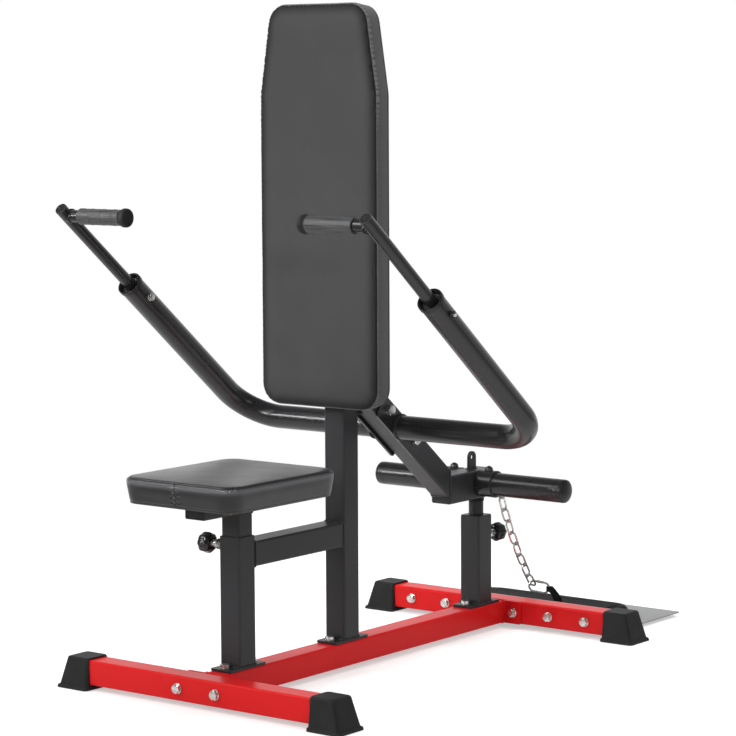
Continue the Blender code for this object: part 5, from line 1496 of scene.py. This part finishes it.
def cushion(name, node, board_node, corners, radius, place, depth_of, flat_of, body, cover_look,
            tuck, edge_shape, gather_zones, pleat_at, voxel, cap, seam_look, painted_shading_of):
    """An upholstered pad: a panel sewn to a side band, with a gathered seam between them, and
    painted shade and painted highlights kept on the cover as a mesh attribute.
    """
    seam_height, seam_inset, panel = edge_shape
    levels = [(seam_height * height, tuck * share - 0.0002) for height, share in BAND]
    levels += [(seam_height, seam_inset)] + list(panel)

    def ring(height, inset):
        """The pad's outline at a height, always with as many points."""
        outline = pad_outline(corners, inset, max(radius - inset * 0.6, 0.010))
        return [place(p.x, p.y, height) for p in square_to_count(outline, RING_POINTS)]

    cover = Shape().loft([ring(*level) for level in levels]).object(name)
    remesh = cover.modifiers.new("even_mesh", "REMESH")
    remesh.mode = "VOXEL"
    remesh.voxel_size = voxel
    modified(cover)
    seam = pad_outline(corners, seam_inset, radius, SEAM_STEP)
    tree = kdtree.KDTree(len(seam))
    for i, p in enumerate(seam):
        tree.insert(place(p.x, p.y, seam_height), i)
    tree.balance()

    def held(spot):
        depth = depth_of(spot)
        low = 1.0 if depth < 0.010 else max(0.0, 0.5 - (depth - 0.010) * 40)
        return max(low, min(1.0, max(0.0, 1.9 - tree.find(spot)[2] / 0.0050)))

    swell(cover, held, cap)
    smooth = cover.modifiers.new("round", "SUBSURF")
    smooth.levels = 1
    smooth.render_levels = 1
    mesh = modified(cover)
    refine(mesh, lambda spot: tree.find(spot)[2] < 0.010 or pleat_at(flat_of(spot)) < 0.008)
    painted_shading = mesh.attributes.new("painted_shading", "FLOAT", "POINT")
    rise = place(0, 0, 1) - place(0, 0, 0)
    normals = [v.normal.copy() for v in mesh.vertices]
    for vertex, normal in zip(mesh.vertices, normals):
        flat = flat_of(vertex.co)
        depth = depth_of(vertex.co)
        index, distance = tree.find(vertex.co)[1:]
        run = index * SEAM_STEP
        gather = gather_zones(flat)
        beat = noise.noise(Vector((run * 38.0, 0.0, 1.7)))
        pucker = max(0.0, math.sin(run * 610.0 + 5.0 * beat)) ** 2 * (0.55 + 0.9 * abs(beat))
        # Painted shade and painted highlights for the cover's material: each pad's rule darkens or
        # lightens by height and distance from the seam, and the band's puckers get painted shade
        # in their hollows and painted highlights on their ridges.
        shade = painted_shading_of(depth - seam_height, distance)
        if 0.001 < depth < seam_height:
            shade += 3.2 * gather * (pucker - 0.6) * math.exp(-(distance / 0.006) ** 2)
        painted_shading.data[vertex.index].value = min(0.9, shade)
        sink = 0.0022 * math.exp(-(distance / 0.0022) ** 2)
        sink += 0.0016 * gather * pucker * math.exp(-(distance / 0.0085) ** 2)
        aside = pleat_at(flat)
        if aside < 0.03 and 0.001 < depth < seam_height:
            wander = noise.noise(Vector((depth * 90, 3, 7)))
            crease = max(0.0, math.sin(depth * 640.0 + 2.2 * wander))
            sink += 0.0024 * math.exp(-(aside / 0.0018) ** 2)
            sink += 0.0017 * crease * math.exp(-((aside - 0.004) / 0.0065) ** 2)
        sink += 0.00035 * noise.noise(vertex.co * 26.0)
        vertex.co = vertex.co - normal * sink
        vertex.co = vertex.co + rise * max(0.0, 0.0045 - depth_of(vertex.co))
    dress(cover, cover_look, body, (node,), 180, weighted=False)
    surface = BVHTree.FromPolygons([v.co for v in mesh.vertices],
                                   [tuple(p.vertices) for p in mesh.polygons])
    path = []
    for i in range(0, len(seam), 2):
        ahead = seam[(i + 3) % len(seam)] - seam[i - 3]
        inward = Vector((-ahead.y, ahead.x)).normalized()
        outside = seam[i] - inward * 0.03
        origin = place(outside.x, outside.y, seam_height + 0.020)
        target = place(seam[i].x, seam[i].y, seam_height)
        aim = (target - origin).normalized()
        hit = surface.ray_cast(origin, aim, 0.1)[0]
        if hit is not None:
            path.append(hit - aim * 0.0001)
    sizes = [0.00085 * (1 + 0.25 * noise.noise(p * 260.0)) for p in path]
    welt = Shape().sweep(path, sizes, 8, loop=True)
    welt.piece(f"{name}_seam", seam_look, body, "vinyl", (node,), weighted=False)
    edge = tuck - 0.0006
    fold = Shape().loft([ring(height, inset) for height, inset in (
        (0.0062, edge), (0.0012, edge - 0.0003), (-0.0003, edge + 0.0005),
        (-0.0005, edge + 0.0022), (-0.0005, 0.024), (0.0004, 0.024), (0.0004, edge + 0.0024),
        (0.0062, edge + 0.0010))], loop=True)
    fold.piece(f"{name}_fold", cover_look, body, "vinyl", (node,), weighted=False)
    staples = Shape()
    line = pad_outline(corners, 0.018, max(radius - 0.006, 0.01), 0.021)
    for i, p in enumerate(line):
        ahead = (line[(i + 1) % len(line)] - p).normalized()
        ahead = turned(ahead, 0.25 * noise.noise(Vector((i * 1.7, 0.3, 0.9))))
        a = p - ahead * 0.005
        b = p + ahead * 0.005
        staples.sweep([place(a.x, a.y, 0.0012), place(a.x, a.y, -0.0008),
                       place(b.x, b.y, -0.0008), place(b.x, b.y, 0.0012)], 0.0004, 6)
    staples.piece(f"{name}_staples", ZINC, body, "zinc", (node,), weighted=False)
    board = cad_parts[board_node].data
    board.materials.clear()
    board.materials.append(PLYWOOD)


def square_to_count(points, count):
    """The same closed outline with a set number of points."""
    path = [Vector((p.x, p.y, 0)) for p in points]
    total = sum((path[(i + 1) % len(path)] - p).length for i, p in enumerate(path))
    made = resample(path, total / count, loop=True)
    return [Vector((p.x, p.y)) for p in made[:count]]


def back_pad():
    """The tall pad with cut upper corners, and its two bolts."""
    half = 0.1475
    foot = 0.544
    corners = [(-half, foot), (half, foot), (half, 1.169), (0.120, 1.347), (-0.120, 1.347),
               (-half, 1.169)]
    plane = UPRIGHT_Y - GAP - ORIGIN_Y

    def zones(flat):
        rise = min(1.0, max(0.0, (flat.y - 1.08) / 0.07))
        corner = math.exp(-((abs(flat.x) - half) ** 2 + (flat.y - foot) ** 2) / 0.03 ** 2)
        return 0.25 + 1.0 * rise + 0.8 * corner

    # Painted shade darkens the front panel's rolled edge beside the seam; a painted highlight
    # lightens the whole side band.
    def shade(above, distance):
        if above > 0:
            return 0.74 * math.exp(-((distance - 0.007) / 0.0120) ** 2) * min(1.0, above / 0.001)
        return -0.90 * min(1.0, -above / 0.002)

    cushion("back_cushion", "back_pad", "back_board", corners, 0.041,
            lambda u, v, h: Vector((u, plane - h, v)), lambda co: plane - co.y,
            lambda co: Vector((co.x, co.z)), "frame", VINYL, 0.0050, BACK_EDGE,
            zones, lambda flat: 1.0, 0.0050, 0.0030, PIPING_PAINTED_HIGHLIGHT, shade)
    for word, z in (("lower", 0.720), ("upper", 1.080)):
        bolt(f"back_pad_bolt_{word}", at(0, UPRIGHT_Y + TUBE, z), -Y, M8, TUBE + GAP, "frame",
             nut=False, tip=0.008, phase=0.5)


def seat_pad():
    """The square pad, with a pleat in the middle of its front band."""
    corners = [(-0.1425, -0.057), (0.1425, -0.057), (0.1425, 0.273), (-0.1425, 0.273)]

    def zones(flat):
        near = max(math.exp(-((flat.x - x) ** 2 + (flat.y - y) ** 2) / 0.035 ** 2)
                   for x, y in corners)
        return 0.35 + 0.9 * near

    def centre_pleat(flat):
        return abs(flat.x) if flat.y < corners[0][1] + 0.012 else 1.0

    # Painted shade on a thin line of the top panel at the seam and on the rest of the band; a
    # painted highlight on the band's roll just below the seam.
    def shade(above, distance):
        if above > 0:
            return 0.45 * math.exp(-(distance / 0.004) ** 2)
        return 0.45 - 6.2 * math.exp(-((distance - 0.0080) / 0.0048) ** 2)

    cushion("seat_cushion", "seat_pad", "seat_board", corners, 0.038,
            lambda u, v, h: at(u, v, SEAT_BASE + h), lambda co: co.z - SEAT_BASE,
            lambda co: Vector((co.x, co.y + ORIGIN_Y)), "seat", SEAT_VINYL, 0.0066, SEAT_EDGE,
            zones, centre_pleat, 0.0042, 0.0045, SEAT_VINYL, shade)


make_stage()
base_beams()
for row, station in (("front", 0.0), ("rear", REAR_BEAM_Y)):
    for sign, hand in SIDES:
        end_cap(f"{row}_{hand}_end_cap", sign, station)
platform()
base_bolts()
seat_sleeve()
brace_tube()
back_upright()
rear_post()
pull_pin("seat_pin", at(-HALF, SLEEVE_Y + HALF, SEAT_PIN_Z), -X, 0.037, "seat_pull_pin")
pull_pin("rear_pin", at(0, REST_SOCKET_Y + TUBE, REST_PIN_Z), Y, 0.041, "rear_pull_pin")
seat_post()
back_pad()
seat_pad()
lever()
weight_sleeve()
yokes()
handles()
rest()
chain()
snap_hook()
belt()
